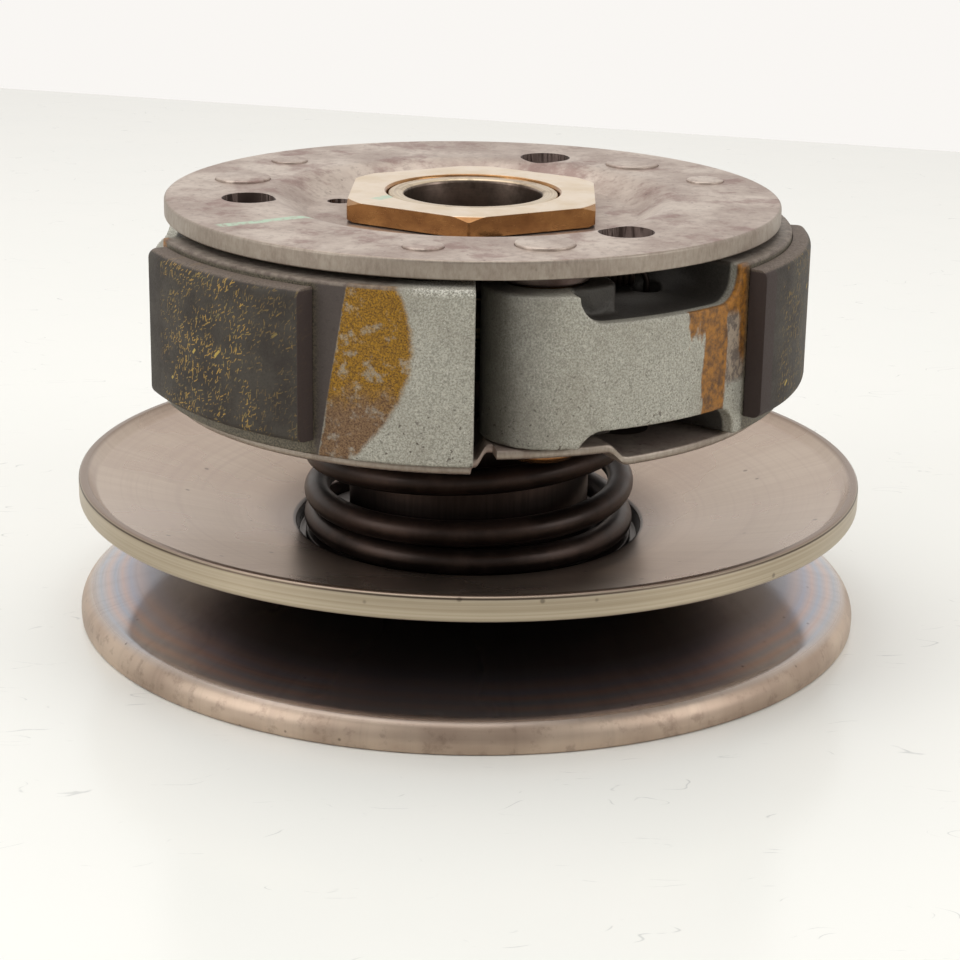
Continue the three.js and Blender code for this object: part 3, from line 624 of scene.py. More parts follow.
def aluminium_look(number):
    """Sand-cast aluminium, speckled and pitted, with amber adhesive where the lining ends."""
    look = Look(f"cast_aluminium_{number}", station_azimuth(number), Metallic=0.35)
    seed = 3.0 * number
    grain = look.clouds(0.34, 3, 0.7, seed)
    lumps = look.clouds(1.6, 4, 0.65, seed + 1)
    clouds = look.clouds(12, 4, 0.6, seed + 2)
    look.colour = look.mix(look.step(grain, 0.3, 0.72), (140, 137, 125), (202, 199, 186))
    look.lay(look.step(clouds, 0.42, 0.72) * 0.4, (140, 133, 119))
    pits = look.step(look.clouds(0.75, 2, 0.5, seed + 3), 0.64, 0.72)
    low = look.step(look.z, 66, 50) * 0.5 + 0.25
    look.lay(pits * low, (84, 72, 62))
    glints = look.step(look.clouds(0.36, 2, 0.5, seed + 4), 0.68, 0.74)
    look.lay(glints * 0.6, (226, 226, 216))
    outside = look.step(look.radius, 59.2, 59.9)
    end_stain(look, outside, grain, seed)
    root_stain(look, outside, seed)
    under_lining = look.band(look.azimuth, LINING_START - 0.5, LINING_END + 0.5, 1.0) * outside
    olive = look.mix(look.step(grain, 0.35, 0.65), (62, 56, 46), (112, 102, 82))
    look.lay(under_lining * 0.9, olive)
    # painted shade on the left side of the pivot boss, beside the previous lining's end
    root = look.step(look.azimuth + lumps * 4.0, 4.0, -11.0)
    look.lay(root * 0.75, (46, 42, 39))
    # painted shade inside the pockets either side of the web
    web = look.step(look.radius, 58.6, 57.8) * look.band(look.azimuth, 2.4, 36.5, 0.8)
    look.lay(web * 0.9, (46, 41, 38))
    lit_edge = look.step(look.z, 76.0, 76.7) * look.step(look.azimuth, 92, 97)
    look.lay(lit_edge * look.step(grain, 0.45, 0.6) * 0.7, (232, 230, 220))
    # darker brown-grey on the shoe's top face above the lining, just under the drive plate
    upper = look.step(look.z, 76.7, 77.1) * look.band(look.azimuth, 37, 92, 3.0)
    top_face_brown = look.mix(look.step(lumps, 0.35, 0.65), (104, 90, 82), (138, 126, 114))
    look.lay(upper * 0.85, top_face_brown)
    roughness = 0.46 + look.step(grain, 0.3, 0.7) * 0.16
    height = grain * 0.07 + lumps * 0.1 - pits * 0.07
    return look.done(roughness, height)


def end_stain(look, outside, grain, seed):
    """Past the lining: a smooth purple-brown margin, then amber that browns towards the bottom."""
    ragged = (look.clouds(3.0, 4, 0.6, seed + 5) - 0.5) * 5.0
    azimuth = look.azimuth + ragged * 0.45
    slant = 79.4 + (look.z - 51.2) * 0.17
    drop = look.z - 67.0
    limit = 95.0 - drop * drop * 0.025
    past_margin = look.step(azimuth - slant, -0.25, 0.25)
    within = look.step(limit - azimuth, -0.5, 0.9)
    amber = past_margin * within * outside
    sparkle = look.step(look.clouds(0.32, 3, 0.7, seed + 6), 0.3, 0.72)
    gold = look.mix(sparkle, (86, 54, 5), (180, 132, 14))
    rust = look.mix(sparkle, (84, 56, 38), (150, 118, 82))
    worn = look.step(look.z + ragged * 2.4, 61.0, 54.0)
    tone = look.mix(worn, gold, rust)
    patches = look.step(look.clouds(2.2, 4, 0.65, seed + 7), 0.68, 0.52)
    strength = 0.44 + patches * 0.54
    look.lay(amber * strength, tone)
    margin = (1.0 - look.step(look.azimuth + ragged * 0.12 - slant, -0.15, 0.15))
    margin = margin * look.step(look.azimuth, LINING_END - 1.5, LINING_END - 0.5) * outside
    shade = look.mix(grain, (64, 55, 51), (82, 71, 67))
    look.lay(margin * 0.96, shade)


def root_stain(look, outside, seed):
    """Before the lining: an amber run down the web, with a scuffed brown patch beside it."""
    ragged = (look.noise(look.vector(look.azimuth, look.z * 0.25, 0.0), 2.0, 4, 0.6, seed + 8) - 0.5)
    azimuth = look.azimuth + ragged * 3.4
    run = look.band(azimuth, 26.6, 32.6, 0.35)
    drips = look.band(azimuth, 23.2, 27.4, 0.3) * look.step(look.z + ragged * 16, 64.5, 67.0)
    column = look.step(azimuth, 35.6, 36.8) * look.step(look.z + ragged * 10, 58, 63)
    corner = look.step(azimuth, 27, 30) * look.step(look.z, 68.4, 70.0)
    amber = look.math("MINIMUM", run + drips + column + corner, 1.0) * outside
    amber = amber * look.step(look.azimuth, LINING_START + 1.0, LINING_START)
    tone = look.mix(look.step(look.clouds(1.4, 4, 0.65, seed + 9), 0.3, 0.7),
                    (88, 52, 8), (172, 112, 20))
    scuffed = look.band(azimuth, 32.4, 38.5, 0.5) * outside * look.step(look.z, 55.5, 57.5)
    scratches = look.noise(look.vector(look.azimuth * 0.9, look.z * 0.6, 0.0), 1.0, 4, 0.7, seed)
    brown = look.mix(look.step(scratches, 0.42, 0.58), (158, 138, 118), (84, 64, 56))
    look.lay(scuffed * 0.8, brown)
    look.lay(amber * 0.92, tone)


def fibres(look, arc_length, height, cell, length, width, seed):
    """Straight fibres, one to a cell at most, each turned its own way; and each one's luck."""
    plane = look.vector(arc_length + seed * 13.7, height + seed * 7.1, 0.0)
    _, chance, centre = look.cells(plane, cell, "2D")
    offset = look.node("VectorMath", plane, centre, operation="SUBTRACT")
    x, y, _ = look.split(offset)
    turn, luck, size = look.split(chance)
    angle = turn * 1.5 + 0.2
    cosine, sine = look.math("COSINE", angle), look.math("SINE", angle)
    along = look.math("ABSOLUTE", x * cosine + y * sine)
    across = look.math("ABSOLUTE", y * cosine - x * sine)
    half_length = length * (size * 0.6 + 0.4)
    mask = look.step(along / half_length, 1.1, 0.8) * look.step(across, width * 1.25, width * 0.6)
    return mask, luck


FIBRE_LAYERS = ((1.5, 0.62, 0.1), (1.2, 0.5, 0.09), (2.1, 0.85, 0.12), (1.0, 0.42, 0.08))
FIBRE_STRENGTH = (0.8, 0.4, 0.6)          # worn down differently on each lining
STAINED_MARGIN = (0.0, 1.0, 1.0)          # how far the adhesive has spread over each lining's start


def lining_look(number):
    """Moulded friction lining: dark grey-brown, thick with short brass and glass fibres."""
    look = Look(f"friction_lining_{number}", station_azimuth(number), Metallic=0.0, Specular_IOR_Level=0.25)
    seed = 2.0 * number
    along = look.azimuth * math.radians(64.0)
    clouds = look.clouds(7, 4, 0.6, seed)
    grain = look.clouds(0.4, 3, 0.7, seed + 1)
    look.colour = look.mix(look.step(clouds, 0.3, 0.7), (74, 69, 62), (56, 50, 45))
    look.lay(look.step(grain, 0.4, 0.8) * 0.4, (50, 45, 40))
    dense = look.step(look.clouds(4.5, 4, 0.65, seed + 2), 0.4, 0.58)
    ends = look.step(look.azimuth, LINING_START + 4, LINING_START + 9)
    ends = ends * (0.35 + 0.65 * look.step(look.azimuth, LINING_END - 7, LINING_END - 12))
    amount = dense * ends * FIBRE_STRENGTH[number - 1]
    for layer, (cell, length, width) in enumerate(FIBRE_LAYERS):
        mask, luck = fibres(look, along, look.z, cell, length, width, seed + layer)
        olive = look.mix(look.step(luck, 0.3, 0.8), (126, 114, 74), (182, 146, 72))
        look.lay(mask * look.step(luck, 0.3, 0.34) * amount, olive)
    flake, luck = fibres(look, along, look.z, 7.0, 1.0, 0.25, seed + 5)
    look.lay(flake * look.step(luck, 0.7, 0.72) * ends * 0.8, (196, 168, 84))
    slanted = look.azimuth + (look.radius - 60.5) * (LINING_SLANT / 3.5)
    end_face = look.step(slanted, LINING_END - 0.16, LINING_END - 0.08)
    end_face = end_face + look.step(look.azimuth, LINING_START + 0.12, LINING_START + 0.04)
    start_margin = look.step(look.azimuth, LINING_START + 3.8, LINING_START + 3.2)
    stained = end_face + STAINED_MARGIN[number - 1] * start_margin
    look.lay(look.math("MINIMUM", stained, 1.0) * 0.9, (66, 55, 52))
    rim = look.step(look.z, 75.7, 76.1)
    dusty = look.mix(look.step(grain, 0.35, 0.7), (120, 106, 95), (92, 82, 74))
    look.lay(rim * 0.85, dusty)
    return look.done(0.58 + look.step(grain, 0.3, 0.8) * 0.15, grain * 0.04 + clouds * 0.04)


def rubber_look():
    look = Look("rubber", Metallic=0.0)
    dust = look.clouds(2.0, 4, 0.65)
    look.colour = look.mix(look.step(dust, 0.45, 0.75), (40, 38, 37), (74, 68, 62))
    return look.done(0.62 + dust * 0.2, dust * 0.04)


def bronze_look():
    look = Look("bronze", Metallic=0.9)
    clouds = look.clouds(2.5, 4, 0.6)
    look.colour = look.mix(look.step(clouds, 0.35, 0.7), (176, 132, 80), (120, 86, 54))
    return look.done(0.3 + clouds * 0.2, clouds * 0.02)


LOOKS = {
    "sheave_steel": movable_sheave_look(),
    "fixed_sheave_steel": fixed_sheave_look(),
    "plate_steel": plate_look("plate_steel", 4.0, PLATE_CHALK),
    "boss_steel": turned_steel_look("boss_steel", (214, 196, 168), (176, 156, 132), 0.3, 13.1),
    "bearing_steel": turned_steel_look("bearing_steel", (196, 190, 182), (150, 144, 138), 0.18),
    "zinc_yellow": zinc_look(),
    "collar_steel": collar_look(),
    "spring_steel": spring_look(),
    "rubber": rubber_look(),
    "bronze": bronze_look(),
}


RIVET_LOOK = plate_look("rivet_steel", 12.0, None)


def shown(obj, node, slot, look=None):
    """Puts a fine piece in its CAD node's place: that node hidden, and its finish."""
    obj.data.materials.clear()
    obj.data.materials.append(look or LOOKS[slot])
    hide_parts(node)
    return obj


def riding(obj, node, slot, look=None):
    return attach(shown(obj, node, slot, look), BODY_OF[node])


# ---------------------------------------------------------------- belt faces
CONE_ANGLE = 13.8
CONE_SLOPE = math.tan(math.radians(CONE_ANGLE))


def fixed_face():
    """The coned sheet, flat at the hub, with its rim curled down to the bench."""
    rim, hub_top = reach("fixed_face"), heights("fixed_face")[1]
    bend, sheet, hub_hole, bend_height = 4.45, 2.9, 17.1, 1.6
    centre = (rim - bend, bend_height)
    normal = 90 - CONE_ANGLE
    shoulder = arc(centre, bend, normal, normal, 1)[0]
    hub = shoulder[0] - (hub_top - shoulder[1]) / CONE_SLOPE
    outline = [(rim - sheet, 0, 0.3), (rim - 0.1, 0, 0.6)]
    outline += arc(centre, bend, 0, normal, 20)
    outline += [(hub, hub_top, 1.5), (hub_hole, hub_top), (hub_hole, hub_top - sheet)]
    outline += [(hub - 0.5, hub_top - sheet, 1.5)]
    outline += arc(centre, bend - sheet, normal, 0, 10)
    return turned("fixed_belt_face", outline)


def movable_face():
    """The same cone facing down, dished on top, with a thick turned lip and a recessed hub."""
    rim, rim_top = reach("movable_face"), heights("movable_face")[1]
    hub_bottom = heights("movable_face")[0]
    hub_hole, hub_top, recess, rim_bottom = 22.5, 14.8, 33, 24.15
    top_at_axis, under_at_axis = 9.07, 5.97

    def top_cone(radius):
        return top_at_axis + CONE_SLOPE * radius

    def under_cone(radius):
        return under_at_axis + CONE_SLOPE * radius

    outline = [
        (hub_hole, hub_bottom), ((hub_bottom - under_at_axis) / CONE_SLOPE, hub_bottom, 1.5),
        (73, under_cone(73), 1.2), (rim - 0.3, rim_bottom, 0.5), (rim, rim_bottom + 0.6, 0.4),
        (rim, rim_top, 0.7), (74.15, rim_top, 0.35), (73.2, rim_top - 1.1, 0.5),
        (72.3, top_cone(72.3), 1.4), (recess + 0.9, top_cone(recess + 0.9), 0.5),
        (recess + 0.3, hub_top, 0.3), (hub_hole, hub_top),
    ]
    return turned("movable_belt_face", outline)


def fixed_boss():
    """The tube, threaded where the nut sits, with two flats that drive the clutch."""
    radius, bore, low_bore, thread = 17, 13.1, 12.4, 16.15
    bottom, top = heights("fixed_boss")
    shoulder, flat, seat = 75, 15.3, 50.3
    flange = heights("fixed_face")[1] - 3.2
    outline = [
        (low_bore, bottom, 0.4), (radius, bottom, 0.5), (radius, 5.5), (20.5, 5.5, 0.4),
        (20.5, flange, 0.3), (radius, flange), (radius, shoulder, 0.3), (thread, shoulder),
        (thread, top, 0.5), (bore, top, 0.8), (bore, 57.4), (13.9, 57.4), (13.9, 56), (bore, 56),
        (bore, seat), (low_bore, seat, 0.3),
    ]
    tube = turned("fixed_boss_tube", outline)
    cutters = [post("pin hole", (0, 0), 2.8, 10, 19) for _ in range(STATIONS)]
    for number, cutter in enumerate(cutters):
        lay = Matrix.Rotation(math.radians(90), 4, "Y")
        spin = Matrix.Rotation(math.radians(120 * number), 4, "Z")
        lift = Matrix.Translation((0, 0, 48 * MM))
        cutter.data.transform(lift @ spin @ lay)
    for side in (-1, 1):
        low, high = sorted((side * flat, side * (flat + 4)))
        cutters.append(prism("drive flat", [(low, -20), (high, -20), (high, 20), (low, 20)],
                             shoulder, shoulder + 3.7))
    tube = combined(tube, "DIFFERENCE", *cutters)
    tube.data.set_sharp_from_angle(angle=math.radians(32))
    return tube


def seal_collar():
    """The pressed cup: a flange under the spring and a thin wall round the cam sleeve."""
    bottom, top = heights("seal_collar")
    inner, wall, flange = 22.6, 0.8, 32
    return turned("seal_collar_cup", [
        (inner, bottom, 0.2), (flange, bottom, 0.25), (flange, bottom + 0.6, 0.25),
        (inner + wall, bottom + 0.6, 1.4), (inner + wall, top, 0.3), (inner, top, 0.3),
    ])


# ---------------------------------------------------------------- the big spring
SPRING = {"radius": 29.8, "wire": 2.5, "turns": 6.56, "start": 170, "closed": 5.12}


def spring_rise(turn, half_rise):
    """How far the wire has risen, some turns in from an end: closed end coils, open middle."""
    opening, blend = 1.1, 0.4
    pitch = (half_rise - SPRING["closed"]) / (SPRING["turns"] / 2 - opening - blend / 2)
    open_turns = max(0.0, turn - opening)
    ramp = open_turns ** 2 / (2 * blend) if open_turns < blend else open_turns - blend / 2
    share = min(max((turn - 0.5) / 0.5, 0.0), 1.0)
    return SPRING["closed"] * share * share * (3 - 2 * share) + pitch * ramp


def contra_spring():
    bottom, top = heights("seal_collar")[0] + 0.9, heights("upper_spring_seat")[0] - 0.3
    half_rise = (top - bottom) / 2 - SPRING["wire"]
    middle, half = (bottom + top) / 2, SPRING["turns"] / 2
    path = []
    for step in range(round(SPRING["turns"] * 80) + 1):
        turn = min(step / 80, SPRING["turns"])
        rise = spring_rise(min(turn, SPRING["turns"] - turn), half_rise) - spring_rise(half, half_rise)
        height = middle + (rise if turn < half else -rise)
        path.append(polar(SPRING["radius"], SPRING["start"] + 360 * turn, height))
    return wire("contra_spring_wire", path, SPRING["wire"], 24)


# ---------------------------------------------------------------- bearings in the bore
BALL = {"radius": 1.15, "circle": 10.7, "count": 8}


def race(name, node, wall, face):
    """A bearing race, grooved where the balls run."""
    bottom, top = heights(node)
    middle, groove = (bottom + top) / 2, BALL["radius"] + 0.3
    half = math.degrees(math.acos(abs(BALL["circle"] - face) / groove))
    facing, turn = (180, 1) if face < BALL["circle"] else (0, -1)
    edge = 0.35
    run = arc((BALL["circle"], middle), groove, facing + turn * half, facing - turn * half, 12)
    outline = [(wall, bottom, edge), (face, bottom, edge), *run, (face, top, edge), (wall, top, edge)]
    return turned(name, outline, 96)


def ball_set():
    """Balls held by a thin ring."""
    bottom, top = heights("bearing_inner_race")
    middle = (bottom + top) / 2
    circle, ball = BALL["circle"], BALL["radius"]
    ring = [(circle - 0.4, middle - 0.4, 0.1), (circle + 0.4, middle - 0.4, 0.1),
            (circle + 0.4, middle + 0.4, 0.1), (circle - 0.4, middle + 0.4, 0.1)]
    pieces = [turned("balls_in_cage", ring, 96)]
    for number in range(BALL["count"]):
        ball_outline = arc((0, middle), ball * 0.98, -90, 90, 14)
        piece = turned("ball", [(max(0.0, radius), height) for radius, height in ball_outline], 20, 180)
        place = polar(circle, 360 * number / BALL["count"])
        piece.data.transform(Matrix.Translation(place * MM))
        pieces.append(piece)
    return combined(pieces[0], "UNION", *pieces[1:])


def needle_set():
    """Needle rollers between two end rings."""
    bottom, top, circle, count = 10, 28, 10.2, 12
    pieces = []
    for low in (bottom + 0.6, top - 2.2):
        high = low + 1.6
        ring = [(circle - 0.5, low), (circle + 0.5, low), (circle + 0.5, high), (circle - 0.5, high)]
        pieces.append(turned("needles_in_cage", ring, 96))
    for number in range(count):
        pieces.append(post("needle", polar(circle, 360 * number / count), 0.8, bottom + 1.4, top - 1.4, 20))
    return combined(pieces[0], "UNION", *pieces[1:])


def snap_ring():
    bottom, top = heights("bearing_snap_ring")
    return eased(sector("bearing_snap_wire", 12.2, 13.6, 20, 340, bottom, top, 4), 0.15, 2)


# ---------------------------------------------------------------- clutch plates and nut
PIVOT_CIRCLE = 46.1
STOP_PLACE = polar(48.4, 94.2)
RIVET_HEAD, STOP_HEAD = 5.3, 3.6


def drive_plate():
    """A thick disc with a dished centre, riveted pins, three large holes and three small ones."""
    rim, (low, top) = reach("drive_plate"), heights("drive_plate")
    thickness = (top - low) / 2
    dish_top = top - thickness
    disc = turned("clutch_drive_plate", [
        (16.45, low, 0.2), (29.6, low, 1.5), (33.8, dish_top - 0.1, 1.5), (rim, dish_top, 0.35),
        (rim, top, 0.55), (37.4, top, 9.0), (31.4, dish_top, 0.5), (16.45, dish_top, 0.2),
    ])
    cutters = []
    head_seat = top - 1.0
    for number in range(STATIONS):
        azimuth = station_azimuth(number + 1)
        pivot = polar(PIVOT_CIRCLE, azimuth)
        stop = Matrix.Rotation(math.radians(azimuth), 3, "Z") @ STOP_PLACE
        large = polar(LARGE_HOLE["circle"], azimuth + LARGE_HOLE["turn"])
        small = polar(SMALL_HOLE["circle"], azimuth + SMALL_HOLE["turn"])
        cutters += [
            post("large hole", large, LARGE_HOLE["radius"], dish_top - 1, top + 1, 64),
            post("small hole", small, SMALL_HOLE["radius"], low - 1, top),
            post("pivot hole", pivot, 4.1, dish_top - 1, top + 1),
            post("pivot head seat", pivot, RIVET_HEAD + 0.12, head_seat, top + 1),
            post("stop hole", stop, 2.6, dish_top - 1, top + 1),
            post("stop head seat", stop, STOP_HEAD + 0.12, head_seat, top + 1),
        ]
    disc = combined(disc, "DIFFERENCE", *cutters)
    return eased(disc, 0.18, 2, 35)


def clutch_nut():
    """A thin hexagon nut with chamfered corners and a faced top."""
    bottom, top = heights("clutch_nut")
    across, hole, first_corner = 46.0, 16.4, 28.45
    corner = across / 2 / math.cos(math.pi / 6)
    blank = turned("hexagon_clutch_nut", [
        (hole, bottom, 0.3), (corner - 0.7, bottom, 0.3), (corner + 0.5, bottom + 0.9),
        (corner + 0.5, top - 1.2), (corner - 1.6, top, 0.25), (hole, top, 0.7)])
    corners = [(*point, 0.7) for point in arc((0, 0), corner, first_corner, first_corner + 300, 5)]
    blank = combined(blank, "INTERSECT", prism("hexagon", rounded(corners), bottom - 1, top + 1))
    return eased(blank, 0.12, 2, 25)


SIDE_PLATE = {"inner": 34.5, "outer": 58.0, "notch": 54.0, "sheet": 1.6, "rise": 2.7}


def side_plate():
    """The thin plate under the shoes: a wavy ring, raised to a pad at each pivot pin."""
    low = heights("side_plate")[0]
    inner, outer, notch, sheet, rise = SIDE_PLATE.values()

    def smooth(value, start, end):
        share = min(max((value - start) / (end - start), 0.0), 1.0)
        return share * share * (3 - 2 * share)

    stops = [-15.7, -15.5, -15.3, -15, -14.6, -14.2, -13.8, -13.4, -13, -12.6, -12.2, -11.8, -11.5,
             -11.3, -11.1, -10, -8, -4, 0, 4, 7, 8.3, 9, 9.6, 10.2, 10.8, 11.4, 12, 12.8, 14]
    stops += [17 + 4 * k for k in range(22)]
    sections = []
    for number in range(STATIONS):
        for azimuth in stops:
            lift = rise * smooth(azimuth, -14.7, -12.5) * (1 - smooth(azimuth, 8.6, 12.6))
            in_notch = smooth(azimuth, -15.6, -15.2) * (1 - smooth(azimuth, -11.5, -11.1))
            edge = outer - (outer - notch) * in_notch
            at = azimuth + station_azimuth(number + 1)
            bottom, top = low + lift, low + lift + sheet
            sections.append([polar(inner, at, bottom), polar(edge - 0.3, at, bottom),
                             polar(edge, at, bottom + 0.3), polar(edge, at, top - 0.3),
                             polar(edge - 0.3, at, top), polar(inner, at, top)])
    ring = lofted("clutch_side_plate", sections, closed=True)
    holes = [post("pin hole", polar(PIVOT_CIRCLE, station_azimuth(number + 1)), 4.3, low, low + 6)
             for number in range(STATIONS)]
    ring = combined(ring, "DIFFERENCE", *holes)
    ring.data.set_sharp_from_angle(angle=math.radians(50))
    return ring


# ---------------------------------------------------------------- one clutch station
# These pieces are made in their station's own frame, with its pivot pin on +X, and then turned.
PIVOT = polar(PIVOT_CIRCLE, 0)
SHOE = {
    "inner": 34.3, "outer": 60.4, "bottom": 46.4, "top": 77.5, "end": 104.9, "boss": 11.6,
    "boss_circle": 48.4, "boss_bottom": 49.1, "boss_top": 76, "web_bottom": 52, "web_top": 71,
    "pocket_start": 2, "pocket_end": 35.7, "pin_hole": 6.9,
}
BOSS_WALL = 54.6                 # the pockets cut no deeper than this beside the pin
NEXT_BOSS = polar(SHOE["boss_circle"], STATION_STEP)
SPRING_HOOK = polar(41, 83)
SPRING_ANCHOR = polar(43, STATION_STEP + 31)
SHOE_SPRING = {"wire": 0.6, "coil": 2.7, "wire_height": 77.2, "coil_height": 74.3, "turns": 10}


def pocket(floor, opening, inner):
    """What is cut out of the shoe above or below its web, as deep as a radius, with round corners."""
    left, right = (math.radians(SHOE[side]) * SHOE["outer"] for side in ("pocket_start", "pocket_end"))
    steps = [left + (right - left) * k / 24 for k in range(25)]
    outline = rounded([(left, opening), (left, floor, 5.0), *((x, floor) for x in steps[4:-4]),
                       (right, floor, 5.0), (right, opening)], 8)
    outline += [Vector((x, opening)) for x in reversed(steps[1:-1])]
    return bent("pocket", outline, SHOE["outer"], inner, SHOE["outer"] + 6)


def shoe():
    """A cast shoe: a block under the lining, a web between two pockets, and the pivot boss."""
    s = SHOE
    block = sector("cast_shoe", s["inner"], s["outer"], s["pocket_start"] - 0.5, s["end"],
                   s["bottom"], s["top"])
    block = combined(
        block, "DIFFERENCE", pocket(s["web_top"], s["top"] + 3, s["inner"] - 4),
        pocket(s["web_bottom"], s["bottom"] - 3, s["inner"] - 4),
        sector("under the boss", s["inner"] - 1, s["outer"] + 2, -10, 13.2,
               s["bottom"] - 3, s["boss_bottom"]),
        sector("over the boss", s["inner"] - 1, s["outer"] + 2, -10, 8, s["boss_top"], s["top"] + 3),
    )
    boss = post("boss", polar(s["boss_circle"], 0), s["boss"], s["boss_bottom"], s["boss_top"], 96)
    root = sector("root", 46, s["outer"] - 0.3, 0.6, s["pocket_start"] + 3,
                  s["boss_bottom"] + 0.1, s["boss_top"] - 0.1)
    block = combined(block, "UNION", boss, root)
    block = combined(block, "DIFFERENCE", pocket(s["web_top"], s["top"] + 3, BOSS_WALL),
                     pocket(s["web_bottom"], s["bottom"] - 3, BOSS_WALL))
    arm = (STOP_PLACE - PIVOT).normalized()
    drift = Vector((-arm.y, arm.x, 0))
    notch_end = STOP_PLACE + drift * 26
    groove_end = SPRING_HOOK.lerp(SPRING_ANCHOR, 0.5)
    across = (groove_end - SPRING_HOOK).normalized().cross(Vector((0, 0, 1))) * 1.4
    groove = [point.xy for point in (SPRING_HOOK + across, SPRING_HOOK - across,
                                     groove_end - across, groove_end + across)]
    low, high = s["bottom"] - 6, s["top"] + 12
    block = combined(
        block, "DIFFERENCE", post("pin hole", PIVOT, s["pin_hole"], low, high, 96),
        post("room for the next boss", NEXT_BOSS, s["boss"] + 1, low, high, 96),
        prism("stop notch", obround(STOP_PLACE.xy, notch_end.xy, 5.4), low, high),
        prism("spring groove", groove, SHOE_SPRING["wire_height"] - 1.4, s["top"] + 1),
        post("hook hole", SPRING_HOOK, 1.4, 71, s["top"] + 1),
        post("anchor hole", polar(43, 31), 2.6, s["web_bottom"] - 1, s["web_top"] + 1),
    )
    return cast(block, 0.42, 3)


def lining():
    """A curved friction block: ends cut square, long outer edges rounded over."""
    inner, outer, bottom, top, corner = 60.5, 64.0, 49.2, 76.3, 1.6
    outline = rounded([(inner, bottom), (outer, bottom, corner), (outer, top, corner), (inner, top)], 6)
    steps = 40
    sections = []
    for step in range(steps + 1):
        azimuth = LINING_START + (LINING_END - LINING_START) * step / steps
        slant = LINING_SLANT / (outer - inner) if step == steps else 0.0
        sections.append([polar(radius, azimuth - slant * (radius - inner), height)
                         for radius, height in outline])
    return applied(eased(lofted("bonded_lining", sections, closed=False), 0.25, 2, 40))


def return_spring():
    """A hooked wire whose coil lies in the next shoe's pocket."""
    s = SHOE_SPRING

    def at(share, height):
        return Vector((*SPRING_HOOK.lerp(SPRING_ANCHOR, share).xy, height))

    run = (SPRING_ANCHOR - SPRING_HOOK).normalized()
    side, up = run.cross(Vector((0, 0, 1))), Vector((0, 0, 1))
    bow = s["coil"] - s["wire"]
    start, end = at(0.715, s["coil_height"]), at(0.945, s["coil_height"])
    path = [at(0, 73.4), at(0, 75.6), at(0.004, s["wire_height"] - 0.5), at(0.02, s["wire_height"])]
    path += [at(0.02 + 0.56 * k / 10, s["wire_height"]) for k in range(1, 11)]
    path += [at(0.63, s["wire_height"] - 0.5)]
    for step in range(s["turns"] * 16 + 1):
        turn = 2 * math.pi * step / 16
        share = step / (s["turns"] * 16)
        path.append(start.lerp(end, share) + bow * (up * math.cos(turn) + side * math.sin(turn)))
    path += [at(0.965, s["coil_height"] + 0.9), at(0.99, s["coil_height"] - 0.6), at(1, 72.6), at(1, 68.6)]
    return wire("shoe_return_spring", path, s["wire"], 10)


def pivot_pin():
    """The riveted pin: a flat head, a broad spacer under the plate, and the shoe's journal."""
    bottom, top = heights("pivot_pin_1")
    under_plate = heights("drive_plate")[1] - 3.7
    pad = heights("side_plate")[1]
    boss_top = SHOE["boss_top"] + 0.3
    head = top - 1.4
    return turned("riveted_pivot_pin", [
        (0, bottom), (4, bottom, 0.4), (4, pad + 0.3), (5, pad + 0.3, 0.3), (5, boss_top),
        (8, boss_top, 0.5), (8, under_plate, 0.3), (4, under_plate), (4, head),
        (RIVET_HEAD, head), (RIVET_HEAD, top, 0.3), (0, top),
    ], 64)


def pin_cap():
    bottom, top = heights("pin_cap_1")
    return turned("pressed_pin_cap", [
        (0, bottom), (5.6, bottom, 0.8), (6.9, bottom + 1.1, 0.6), (6.9, top, 0.25), (4.3, top, 0.2),
        (4.3, bottom + 0.7), (0, bottom + 0.7)], 64)


def stop_pin():
    bottom, top = heights("stop_pin_1")
    head = top - 1.3
    return turned("riveted_stop_pin", [
        (0, bottom), (2.5, bottom, 0.4), (2.5, head), (STOP_HEAD, head), (STOP_HEAD, top, 0.25), (0, top)])


def station(number, masters):
    """One shoe with all that belongs to it, made at its own azimuth."""
    turn = Matrix.Rotation(math.radians(station_azimuth(number)), 4, "Z")
    looks = {"shoe": aluminium_look(number), "lining": lining_look(number),
             "pivot_pin": RIVET_LOOK, "stop_pin": RIVET_LOOK}
    for kind, (master, place, slot) in masters.items():
        piece = bpy.data.objects.new(f"{master.name}_{number}", master.data.copy())
        bpy.context.scene.collection.objects.link(piece)
        piece.data.transform(turn @ Matrix.Translation(place * MM))
        node = f"{kind}_{number}"
        if kind == "return_spring":
            shown(piece, node, slot)
            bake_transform(piece)
        else:
            riding(piece, node, slot, looks.get(kind))


# ---------------------------------------------------------------- putting it together
riding(fixed_face(), "fixed_face", "fixed_sheave_steel")
riding(movable_face(), "movable_face", "sheave_steel")
riding(fixed_boss(), "fixed_boss", "boss_steel")
riding(seal_collar(), "seal_collar", "collar_steel")
riding(washer("upper_seat_washer", "upper_spring_seat", 24, 32.4, 0.2, 0.2), "upper_spring_seat",
       "collar_steel")
riding(drive_plate(), "drive_plate", "plate_steel")
riding(clutch_nut(), "clutch_nut", "zinc_yellow")
riding(side_plate(), "side_plate", "plate_steel", plate_look("side_plate_steel", 8.0, None))
riding(race("outer_race", "bearing_outer_race", 12.8, 11.45), "bearing_outer_race", "bearing_steel")
riding(race("inner_race", "bearing_inner_race", 8.5, 9.95), "bearing_inner_race", "bearing_steel")
riding(ball_set(), "ball_cage", "bearing_steel")
riding(needle_set(), "needle_cage", "bearing_steel")
riding(washer("needle_bearing_shell", "needle_shell", 11.3, 12.1, 0.2, 0.4, 96), "needle_shell",
       "bearing_steel")
riding(snap_ring(), "bearing_snap_ring", "spring_steel")

big_spring = riding(contra_spring(), "contra_spring", "spring_steel")
seat_height = heights("upper_spring_seat")[0] - 0.3
free_length = seat_height - heights("seal_collar")[0] - 0.9
travel = next(joint for joint in frame["joints"] if joint["name"] == "face_slide")["range_m"][1] / MM
(free_length - travel) / free_length
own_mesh(big_spring)

